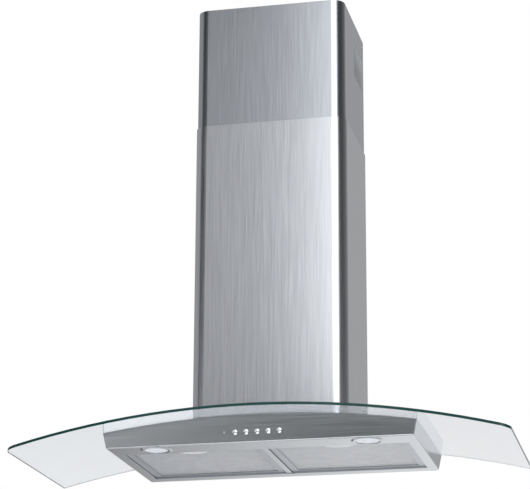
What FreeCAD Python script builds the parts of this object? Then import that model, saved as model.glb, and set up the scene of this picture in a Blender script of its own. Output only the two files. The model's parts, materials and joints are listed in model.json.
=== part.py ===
import FreeCAD, Part
import math
import os
import re
import Sketcher

# Curved glass range hood for a wall, in millimetres.
# Origin: middle of the canopy's lower rear edge, on the wall. X right, Y into the wall, Z up.

SIZES = {
    # canopy body: folded sheet steel
    "bodyWidth": 555.0,
    "bodyDepth": 300.0,
    "crownHeight": 50.0,
    "sideFlareAngle": 12.0,
    "frontLeanAngle": 7.0,
    "sheetGauge": 1.0,
    "foldRadius": 3.0,
    "seatGap": 0.3,
    "wallPlateGauge": 1.2,
    "upstandHeight": 9.0,
    "trayFlange": 10.0,
    "gasketThickness": 1.9,
    "pressGap": 0.1,
    "gasketWidth": 10.0,
    # glass canopy: bent about one long axis
    "glassRadius": 1838.0,
    "glassWidth": 900.0,
    "glassEndDepth": 349.0,
    "glassBulge": 19.0,
    "glassThickness": 5.0,
    "glassCorner": 20.0,
    "glassWallGap": 3.5,
    # telescopic chimney
    "chimneyWidth": 290.0,
    "chimneyDepth": 220.0,
    "chimneyCorner": 25.0,
    "chimneyGauge": 0.8,
    "chimneyFlange": 15.0,
    "telescopeGap": 1.2,
    "lowerChimneyTop": 634.0,
    "upperChimneyTop": 873.0,
    "upperChimneyLength": 540.0,
    "ventCount": 8,
    "ventPitch": 11.0,
    "ventSlotWidth": 4.0,
    "ventSlotHeight": 70.0,
    "ventDrop": 41.0,
    "ventRearMargin": 18.0,
    "guidePadWidth": 12.0,
    "guidePadHeight": 25.0,
    # filter bay
    "sideStrip": 17.5,
    "frontStrip": 57.0,
    "openingRear": 25.0,
    "dividerWidth": 10.0,
    "filterClearance": 1.0,
    "filterThickness": 9.0,
    "filterRecess": 3.0,
    "filterBorder": 13.0,
    "filterLip": 1.0,
    "meshGauge": 0.8,
    "handleWidth": 65.0,
    "handleDepth": 25.0,
    "handleRecess": 5.8,
    "handleGauge": 0.8,
    "handleInset": 2.5,
    "latchWidth": 28.0,
    "latchLength": 18.0,
    "latchGauge": 1.2,
    "latchTravel": 6.0,
    "fingerTabWidth": 20.0,
    "fingerTabInset": 6.0,
    "cupClearance": 1.5,
    "tabWidth": 24.0,
    "tabReach": 5.0,
    # lamps
    "lampFromEnd": 86.0,
    "lampFromFront": 27.0,
    "lampHoleRadius": 26.0,
    "bezelRadius": 29.0,
    "bezelDrop": 1.6,
    "lensRadius": 20.5,
    "lensThickness": 2.0,
    "lampCanHeight": 24.0,
    "lampCanGauge": 0.8,
    "lensRebate": 0.7,
    "lensMargin": 3.2,
    "bezelTaper": 2.5,
    "sleeveGauge": 1.2,
    "sleeveHeight": 6.0,
    "bulbRadius": 5.0,
    "bulbLength": 14.0,
    # controls
    "controlHeight": 18.5,
    "buttonPitch": 20.0,
    "buttonRadius": 4.7,
    "buttonProud": 4.5,
    "buttonTravel": 3.0,
    "buttonHoleRadius": 5.0,
    "stemRadius": 2.5,
    "stemClearance": 0.08,
    "indicatorRadius": 3.0,
    "switchBlockDepth": 22.0,
    "switchEndMargin": 9.0,
    "switchFloor": 8.0,
    "retainerLap": 1.0,
    "switchBlockHeight": 17.0,
    # blower
    "riserHalfWidth": 100.0,
    "riserFront": 185.0,
    "riserRear": 25.0,
    "riserGauge": 1.2,
    "riserFlange": 34.0,
    "riserFlangeFront": 14.0,
    "riserTop": 58.8,
    "glassHoleMargin": 5.0,
    "boltAcross": 125.0,
    "boltInset": 20.0,
    "boltRadius": 2.5,
    "boltClearance": 0.3,
    "coverBoltClearance": 0.5,
    "glassBoltClearance": 3.5,
    "nutClearance": 0.05,
    "casingWidth": 228.0,
    "casingDepth": 194.5,
    "casingHeight": 231.0,
    "casingGauge": 1.0,
    "impellerAxisDepth": 85.0,
    "impellerAxisHeight": 96.0,
    "impellerRadius": 60.0,
    "bladeInnerRadius": 49.0,
    "bladeCount": 24,
    "bladeGauge": 0.8,
    "impellerLength": 66.0,
    "impellerSetBack": 4.0,
    "wheelRing": 4.0,
    "wheelRingHeight": 3.0,
    "wheelDisc": 1.5,
    "scrollWidth": 84.0,
    "scrollWall": 1.5,
    "scrollStep": 12.0,
    "scrollRadius": 70.0,
    "tongueAngle": 15.0,
    "inletRadius": 50.0,
    "inletRim": 3.0,
    "inletLip": 4.0,
    "motorRadius": 39.0,
    "motorLength": 50.0,
    "motorStandOff": 1.0,
    "motorFlange": 13.0,
    "shaftRadius": 4.0,
    "shaftClearance": 0.05,
    "collarRadius": 75.0,
    "collarWall": 2.5,
    "collarDepth": 120.0,
    "collarTransition": 40.0,
    "collarSpigot": 42.0,
    "collarPlate": 3.0,
    "collarBoxMargin": 0.8,
    "collarRim": 4.0,
    "flapGauge": 1.2,
    "flapClearance": 1.0,
    "flapSetBack": 2.4,
    "spindleRadius": 1.5,
    "spindleClearance": 0.05,
    "flapRise": 8.0,
    "knuckleWall": 1.1,
    # electrics
    "capacitorRadius": 14.0,
    "capacitorLength": 55.0,
    "capacitorInset": 25.0,
    "clipGauge": 1.0,
    "clipWidth": 12.0,
    "transformerLength": 70.0,
    "transformerDepth": 38.0,
    "transformerHeight": 20.0,
    "terminalLength": 60.0,
    "terminalDepth": 36.0,
    "terminalHeight": 22.0,
    "transformerAcross": 120.0,
    "terminalAcross": 125.0,
    "boxClearance": 8.0,
    "boxCorner": 3.0,
    # wall fixing
    "hookHoleAcross": 160.0,
    "hookHoleHeight": 312.0,
    "hookHoleRadius": 4.0,
    "lowerHoleAcross": 460.0,
    "lowerHoleHeight": 15.0,
    "lowerHoleRadius": 3.0,
    "tongueWidth": 236.0,
    "tongueTop": 330.0,
    "bracketHeight": 25.0,
    "bracketDrop": 4.0,
    "bracketGauge": 1.2,
    "bracketTab": 30.0,
    "bracketEndGap": 6.0,
    "joggleRun": 3.0,
    "bracketHoleAcross": 180.0,
    "chimneyScrewRadius": 3.0,
}

FAR = 2000.0  # reach of a cut that goes right through

# Formulas that several pieces share.
ARC_CENTRE = "(crownHeight - glassRadius)"
FLARE = "tan(sideFlareAngle * 1 deg)"
LEAN = "tan(frontLeanAngle * 1 deg)"
REAR_SEAT = "(wallPlateGauge + seatGap)"
GASKET_RADIUS = "(glassRadius - pressGap - gasketThickness)"
COVER_RADIUS = "(" + GASKET_RADIUS + " - pressGap)"
GLASS_TOP_RADIUS = "(glassRadius + glassThickness)"
OPENING_WIDTH = "(bodyWidth - 2 * sideStrip)"
OPENING_DEPTH = "(bodyDepth - openingRear - frontStrip)"
GLASS_CROWN_DEPTH = "(glassEndDepth + glassBulge)"
LAMP_ACROSS = "(bodyWidth / 2 - lampFromEnd)"
FILTER_WIDTH = "(" + OPENING_WIDTH + " / 2 - dividerWidth / 2 - 2 * filterClearance)"
FILTER_MIDDLE = "(dividerWidth / 2 + filterClearance + " + FILTER_WIDTH + " / 2)"
FILTER_REAR = "(openingRear + filterClearance)"
FILTER_FRONT = f"(openingRear + {OPENING_DEPTH} - filterClearance)"
FILTER_TOP = "(filterRecess + filterThickness)"
HANDLE_FRONT = f"({FILTER_FRONT} - handleInset)"
CUP_RADIUS = "((handleWidth * handleWidth / 4 + handleDepth * handleDepth) / (2 * handleDepth))"
LATCH_LEVEL = "(filterRecess + handleRecess + seatGap)"
FINGER_FRONT = f"({HANDLE_FRONT} - fingerTabInset)"
LAMP_DEPTH = "(bodyDepth - lampFromFront)"
PANEL_FACE = "(bodyDepth + controlHeight * " + LEAN + ")"
CASING_TOP = "(riserTop + casingHeight)"
AXIS_HEIGHT = "(riserTop + impellerAxisHeight)"
SPIGOT_BASE = "(" + CASING_TOP + " + collarPlate + collarTransition)"
FLAP_HEIGHT = "(" + SPIGOT_BASE + " + flapRise)"
UPPER_INSET = "(chimneyGauge + telescopeGap)"
UPPER_REAR = "(chimneyGauge + seatGap)"
DUCT_FRONT = "(impellerAxisDepth + scrollStep / 2 + scrollRadius + 2 * scrollStep)"
DUCT_REAR = "(impellerAxisDepth - scrollStep / 2 + scrollRadius * sin(tongueAngle * 1 deg))"
SCROLL_FACE = "(scrollWidth / 2)"
SCROLL_TOP = "(" + CASING_TOP + " - casingGauge - seatGap)"
MOTOR_START = "(scrollWidth / 2 + scrollWall + seatGap + motorStandOff)"
IMPELLER_START = "(-scrollWidth / 2 + impellerSetBack)"
NUT_REACH = "sqrt(pow(" + COVER_RADIUS + " - sheetGauge; 2) - pow(boltAcross + 2 * boltRadius; 2))"
NUT_TOP = "(" + ARC_CENTRE + " + " + NUT_REACH + " - 2 * pressGap)"
CAPACITOR_ACROSS = "(casingWidth / 2 - casingGauge - 2 * seatGap - clipGauge - capacitorRadius)"
CAPACITOR_DEPTH = "-(casingDepth - capacitorInset)"
BRACKET_MIDDLE = "(upperChimneyTop - bracketDrop - bracketHeight / 2)"
STEM_LENGTH = "(switchBlockDepth - switchFloor)"
BELOW_ARC = "-60"

# The buttons stand in one row about the middle of the front panel, the running light at their left.
BUTTONS = ("button_light", "button_off", "button_speed_1", "button_speed_2", "button_speed_3")
INDICATOR_PLACE = "-3 * buttonPitch"
BUTTON_PLACES = [f"{index - 2} * buttonPitch" for index in range(len(BUTTONS))]

document = FreeCAD.newDocument("range_hood")
sizes = document.addObject("Spreadsheet::Sheet", "sizes")


def fill_sheet():
    """Write every driving dimension into the sheet, one per row, with its name as alias."""
    for row, (name, number) in enumerate(SIZES.items(), start=1):
        sizes.set(f"A{row}", name)
        sizes.set(f"B{row}", str(number))
        sizes.setAlias(f"B{row}", name)
    document.recompute()


def formula(text):
    """Turn size names into references to the sheet, leaving functions and units alone."""
    return re.sub(r"[A-Za-z]+", lambda word: f"sizes.{word[0]}" if word[0] in SIZES else word[0], str(text))


def value(text):
    """Work out a formula of size names as a plain number."""
    result = sizes.evalExpression(formula(text))
    return float(getattr(result, "Value", result))


def bind(thing, path, text):
    """Tie one property of a thing to a formula of size names."""
    thing.setExpression(path, formula(text))


def new_body(label):
    """Start a sub-part as a body of its own."""
    body = document.addObject("PartDesign::Body", label)
    body.Label = label
    return body


def new_sketch(body, plane, offset="0", tilt="0"):
    """Attach a sketch to one of the body's origin planes, moved along its normal by a formula."""
    sketch = body.newObject("Sketcher::SketchObject", body.Label + "_sketch")
    base = next(item for item in body.Origin.OriginFeatures if item.Role == plane)
    sketch.AttachmentSupport = [(base, "")]
    sketch.MapMode = "FlatFace"
    bind(sketch, "AttachmentOffset.Base.z", offset)
    if tilt != "0":
        sketch.AttachmentOffset = FreeCAD.Placement(
            FreeCAD.Vector(), FreeCAD.Rotation(FreeCAD.Vector(1, 0, 0), value(tilt))
        )
    return sketch


def pin_point(sketch, geometry, point, across, up):
    """Hold one point of the sketch at two formulas measured from its origin."""
    for kind, text in (("DistanceX", across), ("DistanceY", up)):
        index = sketch.addConstraint(Sketcher.Constraint(kind, -1, 1, geometry, point, value(text)))
        bind(sketch, f"Constraints[{index}]", text)


def pin_radius(sketch, geometry, radius):
    """Hold the radius of a circle or arc at a formula."""
    index = sketch.addConstraint(Sketcher.Constraint("Radius", geometry, value(radius)))
    bind(sketch, f"Constraints[{index}]", radius)


def outline(sketch, corners):
    """Join corners, each a pair of formulas, with straight sides into a closed outline."""
    places = [FreeCAD.Vector(value(across), value(up), 0) for across, up in corners]
    first = sketch.GeometryCount
    count = len(corners)
    for index, place in enumerate(places):
        sketch.addGeometry(Part.LineSegment(place, places[(index + 1) % count]), False)
    for index, (across, up) in enumerate(corners):
        side = first + index
        before = first + (index - 1) % count
        sketch.addConstraint(Sketcher.Constraint("Coincident", before, 2, side, 1))
        pin_point(sketch, side, 1, across, up)
    return sketch


def rectangle(sketch, left, right, low, high):
    """Draw a rectangle between four formulas."""
    return outline(sketch, [(left, low), (right, low), (right, high), (left, high)])


def circle(sketch, across, up, radius):
    """Draw a circle whose centre and radius are formulas."""
    centre = FreeCAD.Vector(value(across), value(up), 0)
    ring = sketch.addGeometry(Part.Circle(centre, FreeCAD.Vector(0, 0, 1), value(radius)), False)
    pin_point(sketch, ring, 3, across, up)
    pin_radius(sketch, ring, radius)
    return sketch


def crown_arc(sketch, radius, reach):
    """Draw the part of the canopy's arc between plus and minus a reach; returns its index."""
    centre = FreeCAD.Vector(0, value(ARC_CENTRE), 0)
    half_turn = math.asin(value(reach) / value(radius))
    arc = sketch.addGeometry(
        Part.ArcOfCircle(
            Part.Circle(centre, FreeCAD.Vector(0, 0, 1), value(radius)),
            math.pi / 2 - half_turn,
            math.pi / 2 + half_turn,
        ),
        False,
    )
    pin_point(sketch, arc, 3, "0", ARC_CENTRE)
    pin_radius(sketch, arc, radius)
    for point, sign in ((1, ""), (2, "-")):
        index = sketch.addConstraint(
            Sketcher.Constraint("DistanceX", -1, 1, arc, point, value(sign + "(" + reach + ")"))
        )
        bind(sketch, f"Constraints[{index}]", sign + "(" + reach + ")")
    return arc


def arc_side(sketch, radius, reach, level):
    """Close the region between the canopy's arc and a level line above or below it."""
    arc = crown_arc(sketch, radius, reach)
    right = sketch.Geometry[arc].StartPoint
    left = sketch.Geometry[arc].EndPoint
    high = value(level)
    right_corner = FreeCAD.Vector(right.x, high, 0)
    left_corner = FreeCAD.Vector(left.x, high, 0)
    sides = [
        sketch.addGeometry(Part.LineSegment(start, end), False)
        for start, end in ((right, right_corner), (right_corner, left_corner), (left_corner, left))
    ]
    sketch.addConstraint(Sketcher.Constraint("Coincident", arc, 1, sides[0], 1))
    sketch.addConstraint(Sketcher.Constraint("Coincident", sides[0], 2, sides[1], 1))
    sketch.addConstraint(Sketcher.Constraint("Coincident", sides[1], 2, sides[2], 1))
    sketch.addConstraint(Sketcher.Constraint("Coincident", sides[2], 2, arc, 2))
    pin_point(sketch, sides[1], 1, reach, level)
    pin_point(sketch, sides[1], 2, "-(" + reach + ")", level)
    return sketch


def arc_band(sketch, inner, outer, reach):
    """Close the band between two radii of the canopy's arc, with upright ends."""
    low = crown_arc(sketch, inner, reach)
    high = crown_arc(sketch, outer, reach)
    for point in (1, 2):
        ends = [sketch.getPoint(arc, point) for arc in (low, high)]
        side = sketch.addGeometry(Part.LineSegment(*ends), False)
        sketch.addConstraint(Sketcher.Constraint("Coincident", low, point, side, 1))
        sketch.addConstraint(Sketcher.Constraint("Coincident", high, point, side, 2))
    return sketch


def set_extent(feature, length, both_ways, backwards):
    """Give a pad or pocket its length and direction."""
    if length is None:
        feature.Length = FAR
    else:
        bind(feature, "Length", length)
    feature.Midplane = both_ways
    feature.Reversed = backwards


def pad(body, sketch, length, both_ways=False, backwards=False):
    """Add material along the sketch's normal."""
    feature = body.newObject("PartDesign::Pad", body.Label + "_pad")
    feature.Profile = sketch
    set_extent(feature, length, both_ways, backwards)
    return settle(feature)


def pocket(body, sketch, length=None, both_ways=True, forwards=False):
    """Take material away; with no length it cuts right through, both ways."""
    before = body.Tip.Shape.Volume
    feature = body.newObject("PartDesign::Pocket", body.Label + "_pocket")
    feature.Profile = sketch
    set_extent(feature, length, both_ways, forwards)
    settle(feature)
    if feature.Shape.Volume >= before - 1e-3:
        raise RuntimeError(f"{feature.Label} cuts nothing")
    return feature


def revolve(body, sketch, axis="V_Axis"):
    """Turn the sketch a full turn about its own upright or level axis."""
    feature = body.newObject("PartDesign::Revolution", body.Label + "_revolution")
    feature.Profile = sketch
    feature.ReferenceAxis = (sketch, [axis])
    feature.Angle = 360
    return settle(feature)


def names_of(shape, kind, test):
    """Names of the edges or faces of a shape that pass a test."""
    items = shape.Edges if kind == "Edge" else shape.Faces
    return [f"{kind}{index}" for index, item in enumerate(items, start=1) if test(item)]


def round_edges(body, base, test, radius):
    """Round the edges of the last feature that pass a test."""
    feature = body.newObject("PartDesign::Fillet", body.Label + "_fillet")
    feature.Base = (base, names_of(base.Shape, "Edge", test))
    bind(feature, "Radius", radius)
    return settle(feature)


def hollow(body, base, test, wall, sharp=False):
    """Leave a wall of even thickness inside the last feature, open at the faces that pass a test."""
    feature = body.newObject("PartDesign::Thickness", body.Label + "_shell")
    feature.Base = (base, names_of(base.Shape, "Face", test))
    bind(feature, "Value", wall)
    feature.Reversed = True
    feature.Mode = 0
    feature.Join = 1 if sharp else 0
    return settle(feature)


def settle(feature):
    """Recompute and stop if the feature failed."""
    document.recompute()
    if "Invalid" in feature.State or "Error" in feature.State or feature.Shape.isNull():
        raise RuntimeError(f"{feature.Label} failed: {feature.State}")
    return feature


def middle(item):
    """Centre of an edge's or face's bounding box."""
    return item.BoundBox.Center


def upright(edge):
    """True for a straight edge that mainly runs up."""
    box = edge.BoundBox
    return box.ZLength > 3 * max(box.XLength, box.YLength)


def faces(face, direction):
    """True for a face whose outward normal at its middle is a direction, within two degrees."""
    low_u, high_u, low_v, high_v = face.ParameterRange
    normal = face.normalAt((low_u + high_u) / 2, (low_v + high_v) / 2)
    return normal.getAngle(FreeCAD.Vector(*direction)) < math.radians(2)


def arched_block(label, inset, radius):
    """Flared block under the canopy's arc that follows the canopy's walls at an inset."""
    body = new_body(label)
    half = f"bodyWidth / 2 - ({inset}) / cos(sideFlareAngle * 1 deg)"
    front = f"-(bodyDepth - ({inset}) / cos(frontLeanAngle * 1 deg))"
    plan = new_sketch(body, "XY_Plane")
    rectangle(plan, "-(" + half + ")", half, front, "20")
    block = pad(body, plan, "crownHeight + 6")
    block = lean(body, block, ((1, 0, 0), (-1, 0, 0)), "sideFlareAngle")
    lean(body, block, ((0, -1, 0),), "frontLeanAngle")
    return body, cut_at_arc(body, radius, "crownHeight + 60")


def lean(body, base, directions, angle):
    """Lean the walls that face some directions outwards, about the body's floor."""
    feature = body.newObject("PartDesign::Draft", body.Label + "_draft")

    def leaning(face):
        return any(faces(face, way) for way in directions)

    feature.Base = (base, names_of(base.Shape, "Face", leaning))
    floor = next(item for item in body.Origin.OriginFeatures if item.Role == "XY_Plane")
    feature.NeutralPlane = (floor, [""])
    feature.Reversed = True
    bind(feature, "Angle", angle)
    return settle(feature)


def cut_at_arc(body, radius, level):
    """Take away everything between the canopy's arc of one radius and a level."""
    sketch = new_sketch(body, "XZ_Plane")
    arc_side(sketch, radius, "bodyWidth / 2 + 60", level)
    return pocket(body, sketch)


def trim_rear(body, rear):
    """Take away everything of a canopy piece that lies behind a formula."""
    sketch = new_sketch(body, "XY_Plane")
    rectangle(sketch, "-(glassWidth / 2 + 10)", "glassWidth / 2 + 10", rear, "40")
    return pocket(body, sketch)


def front_upright(edge):
    """True for an upright edge at the front of a canopy piece or chimney."""
    return upright(edge) and middle(edge).y < -value("bodyDepth") / 4


def make_canopy_shell():
    """Folded steel shell: front panel, side walls and bottom rim with the filter opening."""
    body, block = arched_block("canopy_shell", "0", "glassRadius - seatGap")

    def folded(edge):
        along_bottom = edge.BoundBox.ZMax < 1e-6 and middle(edge).y < 0
        return along_bottom or front_upright(edge)

    block = round_edges(body, block, folded, "foldRadius")
    roof = max(block.Shape.Faces, key=lambda face: face.CenterOfMass.z)
    hollow(body, block, roof.isSame, "sheetGauge")
    trim_rear(body, "-" + REAR_SEAT)
    half = f"{OPENING_WIDTH} / 2"
    front = f"-(openingRear + {OPENING_DEPTH})"
    rear = "-openingRear"
    upstand = new_sketch(body, "XY_Plane")
    rectangle(upstand, f"-({half} + sheetGauge)", f"{half} + sheetGauge", f"{front} - sheetGauge",
              f"{rear} + sheetGauge")
    pad(body, upstand, "upstandHeight")
    opening = new_sketch(body, "XY_Plane")
    rectangle(opening, f"-({half})", half, front, rear)
    pocket(body, opening, "2 * upstandHeight + 2")
    lamps = new_sketch(body, "XY_Plane")
    for side in ("-", ""):
        circle(lamps, side + f"{LAMP_ACROSS}", "-" + LAMP_DEPTH, "lampHoleRadius")
    pocket(body, lamps, "4 * sheetGauge")
    holes = new_sketch(body, "XZ_Plane", PANEL_FACE, "frontLeanAngle")
    bind(holes, "AttachmentOffset.Base.y", "controlHeight")
    for across in BUTTON_PLACES:
        circle(holes, across, "0", "buttonHoleRadius")
    circle(holes, INDICATOR_PLACE, "0", "indicatorRadius")
    pocket(body, holes, "8 * sheetGauge")
    return body


def make_top_cover():
    """Arched tray with a turned-down edge that nests inside the shell and carries the glass."""
    body, block = arched_block("top_cover", "sheetGauge + seatGap", COVER_RADIUS)
    block = cut_at_arc(body, COVER_RADIUS + " - trayFlange", BELOW_ARC)
    arched = [face for face in block.Shape.Faces if face.Area > 50000]
    underside = min(arched, key=lambda face: face.CenterOfMass.z)
    block = hollow(body, block, underside.isSame, "sheetGauge", sharp=True)
    reach = max(abs(middle(edge).x) for edge in block.Shape.Edges if front_upright(edge))

    def outer_corner(edge):
        return front_upright(edge) and abs(middle(edge).x) > reach - 0.1

    round_edges(body, block, outer_corner, "foldRadius - sheetGauge - seatGap")
    trim_rear(body, "-" + REAR_SEAT)
    hole = new_sketch(body, "XY_Plane")
    rectangle(hole, "-(riserHalfWidth + seatGap)", "riserHalfWidth + seatGap",
              "-(riserFront + seatGap)", "-(riserRear - seatGap)")
    pocket(body, hole)
    bolt_holes(body, "boltRadius + coverBoltClearance")
    return body


def bolt_places():
    """Centres of the four riser bolts as formulas."""
    return [
        (side + "boltAcross", f"-({depth})")
        for side in ("-", "")
        for depth in ("riserFront - boltInset", "riserRear + boltInset")
    ]


def bolt_holes(body, radius):
    """Four holes through a piece for the bolts that clamp the riser to the cover."""
    sketch = new_sketch(body, "XY_Plane")
    for across, depth in bolt_places():
        circle(sketch, across, depth, radius)
    return pocket(body, sketch)


def arched_plate(label, inner, outer, reach, depth):
    """Plate bent to the canopy's arc between two radii, reaching a depth from the wall."""
    body = new_body(label)
    band = new_sketch(body, "XZ_Plane")
    arc_band(band, inner, outer, reach)
    pad(body, band, depth)
    return body


def make_glass():
    """Tempered glass canopy: bent plate with a bowed front edge and a cut-out for the riser."""
    blank_depth = GLASS_CROWN_DEPTH + " + 5"
    body = arched_plate("glass_canopy", "glassRadius", GLASS_TOP_RADIUS, "glassWidth / 2", blank_depth)
    ends = new_sketch(body, "XY_Plane")
    half = value("glassWidth / 2")
    end_depth = value("glassEndDepth")
    crown_depth = value(GLASS_CROWN_DEPTH)
    bow = ends.addGeometry(
        Part.Arc(
            FreeCAD.Vector(-half, -end_depth, 0),
            FreeCAD.Vector(0, -crown_depth, 0),
            FreeCAD.Vector(half, -end_depth, 0),
        ),
        False,
    )
    pin_point(ends, bow, 1, "-glassWidth / 2", "-glassEndDepth")
    pin_point(ends, bow, 2, "glassWidth / 2", "-glassEndDepth")
    sag = f"({GLASS_CROWN_DEPTH} - glassEndDepth)"
    pin_radius(ends, bow, f"(glassWidth * glassWidth / 4 + {sag} * {sag}) / (2 * {sag})")
    corners = [
        ("glassWidth / 2", "-glassEndDepth"),
        ("glassWidth / 2", f"-({GLASS_CROWN_DEPTH} + 40)"),
        ("-glassWidth / 2", f"-({GLASS_CROWN_DEPTH} + 40)"),
        ("-glassWidth / 2", "-glassEndDepth"),
    ]
    places = [FreeCAD.Vector(value(across), value(up), 0) for across, up in corners]
    sides = [
        ends.addGeometry(Part.LineSegment(places[index], places[index + 1]), False) for index in range(3)
    ]
    ends.addConstraint(Sketcher.Constraint("Coincident", bow, 2, sides[0], 1))
    ends.addConstraint(Sketcher.Constraint("Coincident", sides[0], 2, sides[1], 1))
    ends.addConstraint(Sketcher.Constraint("Coincident", sides[1], 2, sides[2], 1))
    ends.addConstraint(Sketcher.Constraint("Coincident", sides[2], 2, bow, 1))
    for index in (1, 2):
        pin_point(ends, sides[1], index, *corners[index])
    pocket(body, ends)
    plate = trim_rear(body, "-glassWallGap")

    def front_corner(edge):
        at = middle(edge)
        return upright(edge) and abs(at.x) > half - 5 and at.y < -end_depth / 2

    round_edges(body, plate, front_corner, "glassCorner")
    opening = new_sketch(body, "XY_Plane")
    rectangle(opening, "-(riserHalfWidth + glassHoleMargin)", "riserHalfWidth + glassHoleMargin",
              "-(riserFront + glassHoleMargin)", "-(riserRear - glassHoleMargin)")
    plate = pocket(body, opening)
    bolt_holes(body, "boltRadius + glassBoltClearance")
    return body


def make_glass_gasket():
    """Rubber strip between the cover's edge and the glass, closed round the canopy body."""
    depth = "bodyDepth"
    reach = "bodyWidth / 2"
    body = arched_plate("glass_gasket", GASKET_RADIUS, "(glassRadius - pressGap)", reach, depth)
    trim_rear(body, "-(glassWallGap + 0.5)")
    middle_gap = new_sketch(body, "XY_Plane")
    rectangle(middle_gap, f"-({reach} - gasketWidth)", f"{reach} - gasketWidth",
              f"-({depth} - gasketWidth)", "-(glassWallGap + 0.5 + gasketWidth)")
    pocket(body, middle_gap)
    return body


def make_back_plate():
    """Wall plate: the canopy's rear wall with a tongue that carries the blower and the wall holes."""
    body = new_body("back_plate")
    plate = new_sketch(body, "XZ_Plane")
    outline(
        plate,
        [
            ("-(bodyWidth / 2 - sheetGauge - seatGap)", "0"),
            ("bodyWidth / 2 - sheetGauge - seatGap", "0"),
            ("bodyWidth / 2 - sheetGauge - seatGap", "crownHeight"),
            ("tongueWidth / 2", "crownHeight"),
            ("tongueWidth / 2", "tongueTop"),
            ("-tongueWidth / 2", "tongueTop"),
            ("-tongueWidth / 2", "crownHeight"),
            ("-(bodyWidth / 2 - sheetGauge - seatGap)", "crownHeight"),
        ],
    )
    pad(body, plate, "wallPlateGauge")
    shoulders = new_sketch(body, "XZ_Plane")
    for side in ("-", ""):
        places = [
            (side + "(tongueWidth / 2)", "crownHeight + 5"),
            (side + "(tongueWidth / 2)", "crownHeight - tongueWidth * tongueWidth / (8 * glassRadius) - 4"),
            (side + "(bodyWidth / 2)", "crownHeight - bodyWidth * bodyWidth / (8 * glassRadius) - 4"),
            (side + "(bodyWidth / 2)", "crownHeight + 5"),
        ]
        outline(shoulders, places)
    pocket(body, shoulders)
    holes = new_sketch(body, "XZ_Plane")
    for side in ("-", ""):
        circle(holes, side + "hookHoleAcross / 2", "hookHoleHeight", "hookHoleRadius")
        circle(holes, side + "lowerHoleAcross / 2", "lowerHoleHeight", "lowerHoleRadius")
    pocket(body, holes)
    return body


def make_chimney(label, inset, rear, low, high):
    """One chimney section: front and sides folded from sheet, with return flanges at the rear."""
    body = new_body(label)
    half = f"(chimneyWidth / 2 - {inset})"
    front = f"(chimneyDepth - {inset})"
    plan = new_sketch(body, "XY_Plane", low)
    rectangle(plan, f"-{half}", half, f"-{front}", f"-{rear}")
    block = pad(body, plan, f"({high}) - ({low})")
    block = round_edges(body, block, front_upright, f"chimneyCorner - {inset}")

    def open_end(face):
        return faces(face, (0, 0, 1)) or faces(face, (0, 0, -1))

    hollow(body, block, open_end, "chimneyGauge")
    gap = new_sketch(body, "XZ_Plane")
    rectangle(gap, f"-({half} - chimneyFlange)", f"{half} - chimneyFlange", f"({low}) - 10",
              f"({high}) + 10")
    pocket(body, gap, "8 * chimneyGauge")
    return body


def make_lower_chimney():
    """Lower section, scribed to the glass it stands on."""
    body = make_chimney("lower_chimney", "0", "0", "crownHeight - 10", "lowerChimneyTop")
    cut_at_arc(body, GLASS_TOP_RADIUS + " + seatGap", BELOW_ARC)
    return body


def make_upper_chimney():
    """Upper section that slides inside the lower one, with vent slots high on both sides."""
    low = "upperChimneyTop - upperChimneyLength"
    body = make_chimney("upper_chimney", UPPER_INSET, UPPER_REAR, low, "upperChimneyTop")
    slots = new_sketch(body, "YZ_Plane")
    for index in range(int(SIZES["ventCount"])):
        across = f"-(ventRearMargin + {index} * ventPitch)"
        rectangle(slots, f"{across} - ventSlotWidth", across, "upperChimneyTop - ventDrop - ventSlotHeight",
                  "upperChimneyTop - ventDrop")
    pocket(body, slots)
    return body


def make_chimney_guides():
    """Nylon pads on the lower section's rim that the upper section slides on."""
    thickness = "(telescopeGap - seatGap)"
    top = "(lowerChimneyTop - 6)"
    body = new_body("chimney_guides")
    for side in ("-", ""):
        for depth in ("chimneyDepth * 0.3", "chimneyDepth * 0.7"):
            pads = new_sketch(body, "XY_Plane", f"{top} - guidePadHeight")
            outer = "(chimneyWidth / 2 - chimneyGauge)"
            rectangle(pads, f"{side}({outer} - {thickness})", f"{side}{outer}",
                      f"-({depth} + guidePadWidth / 2)", f"-({depth} - guidePadWidth / 2)")
            pad(body, pads, "guidePadHeight")
    for side in ("-", ""):
        pads = new_sketch(body, "XY_Plane", f"{top} - guidePadHeight")
        across = f"{side}chimneyWidth * 0.25"
        rectangle(pads, f"{across} - guidePadWidth / 2", f"{across} + guidePadWidth / 2",
                  "-(chimneyDepth - chimneyGauge)", f"-(chimneyDepth - chimneyGauge - {thickness})")
        pad(body, pads, "guidePadHeight")
    return body


def place(body, across="0", depth="0", height="0", axis=(1, 0, 0), turn="0"):
    """Put a body at a place given by formulas, turned about one axis."""
    rotation = FreeCAD.Rotation(FreeCAD.Vector(*axis), value(turn))
    body.Placement = FreeCAD.Placement(FreeCAD.Vector(), rotation)
    for coordinate, text in (("x", across), ("y", depth), ("z", height)):
        bind(body, f"Placement.Base.{coordinate}", text)
    document.recompute()
    return body


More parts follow.
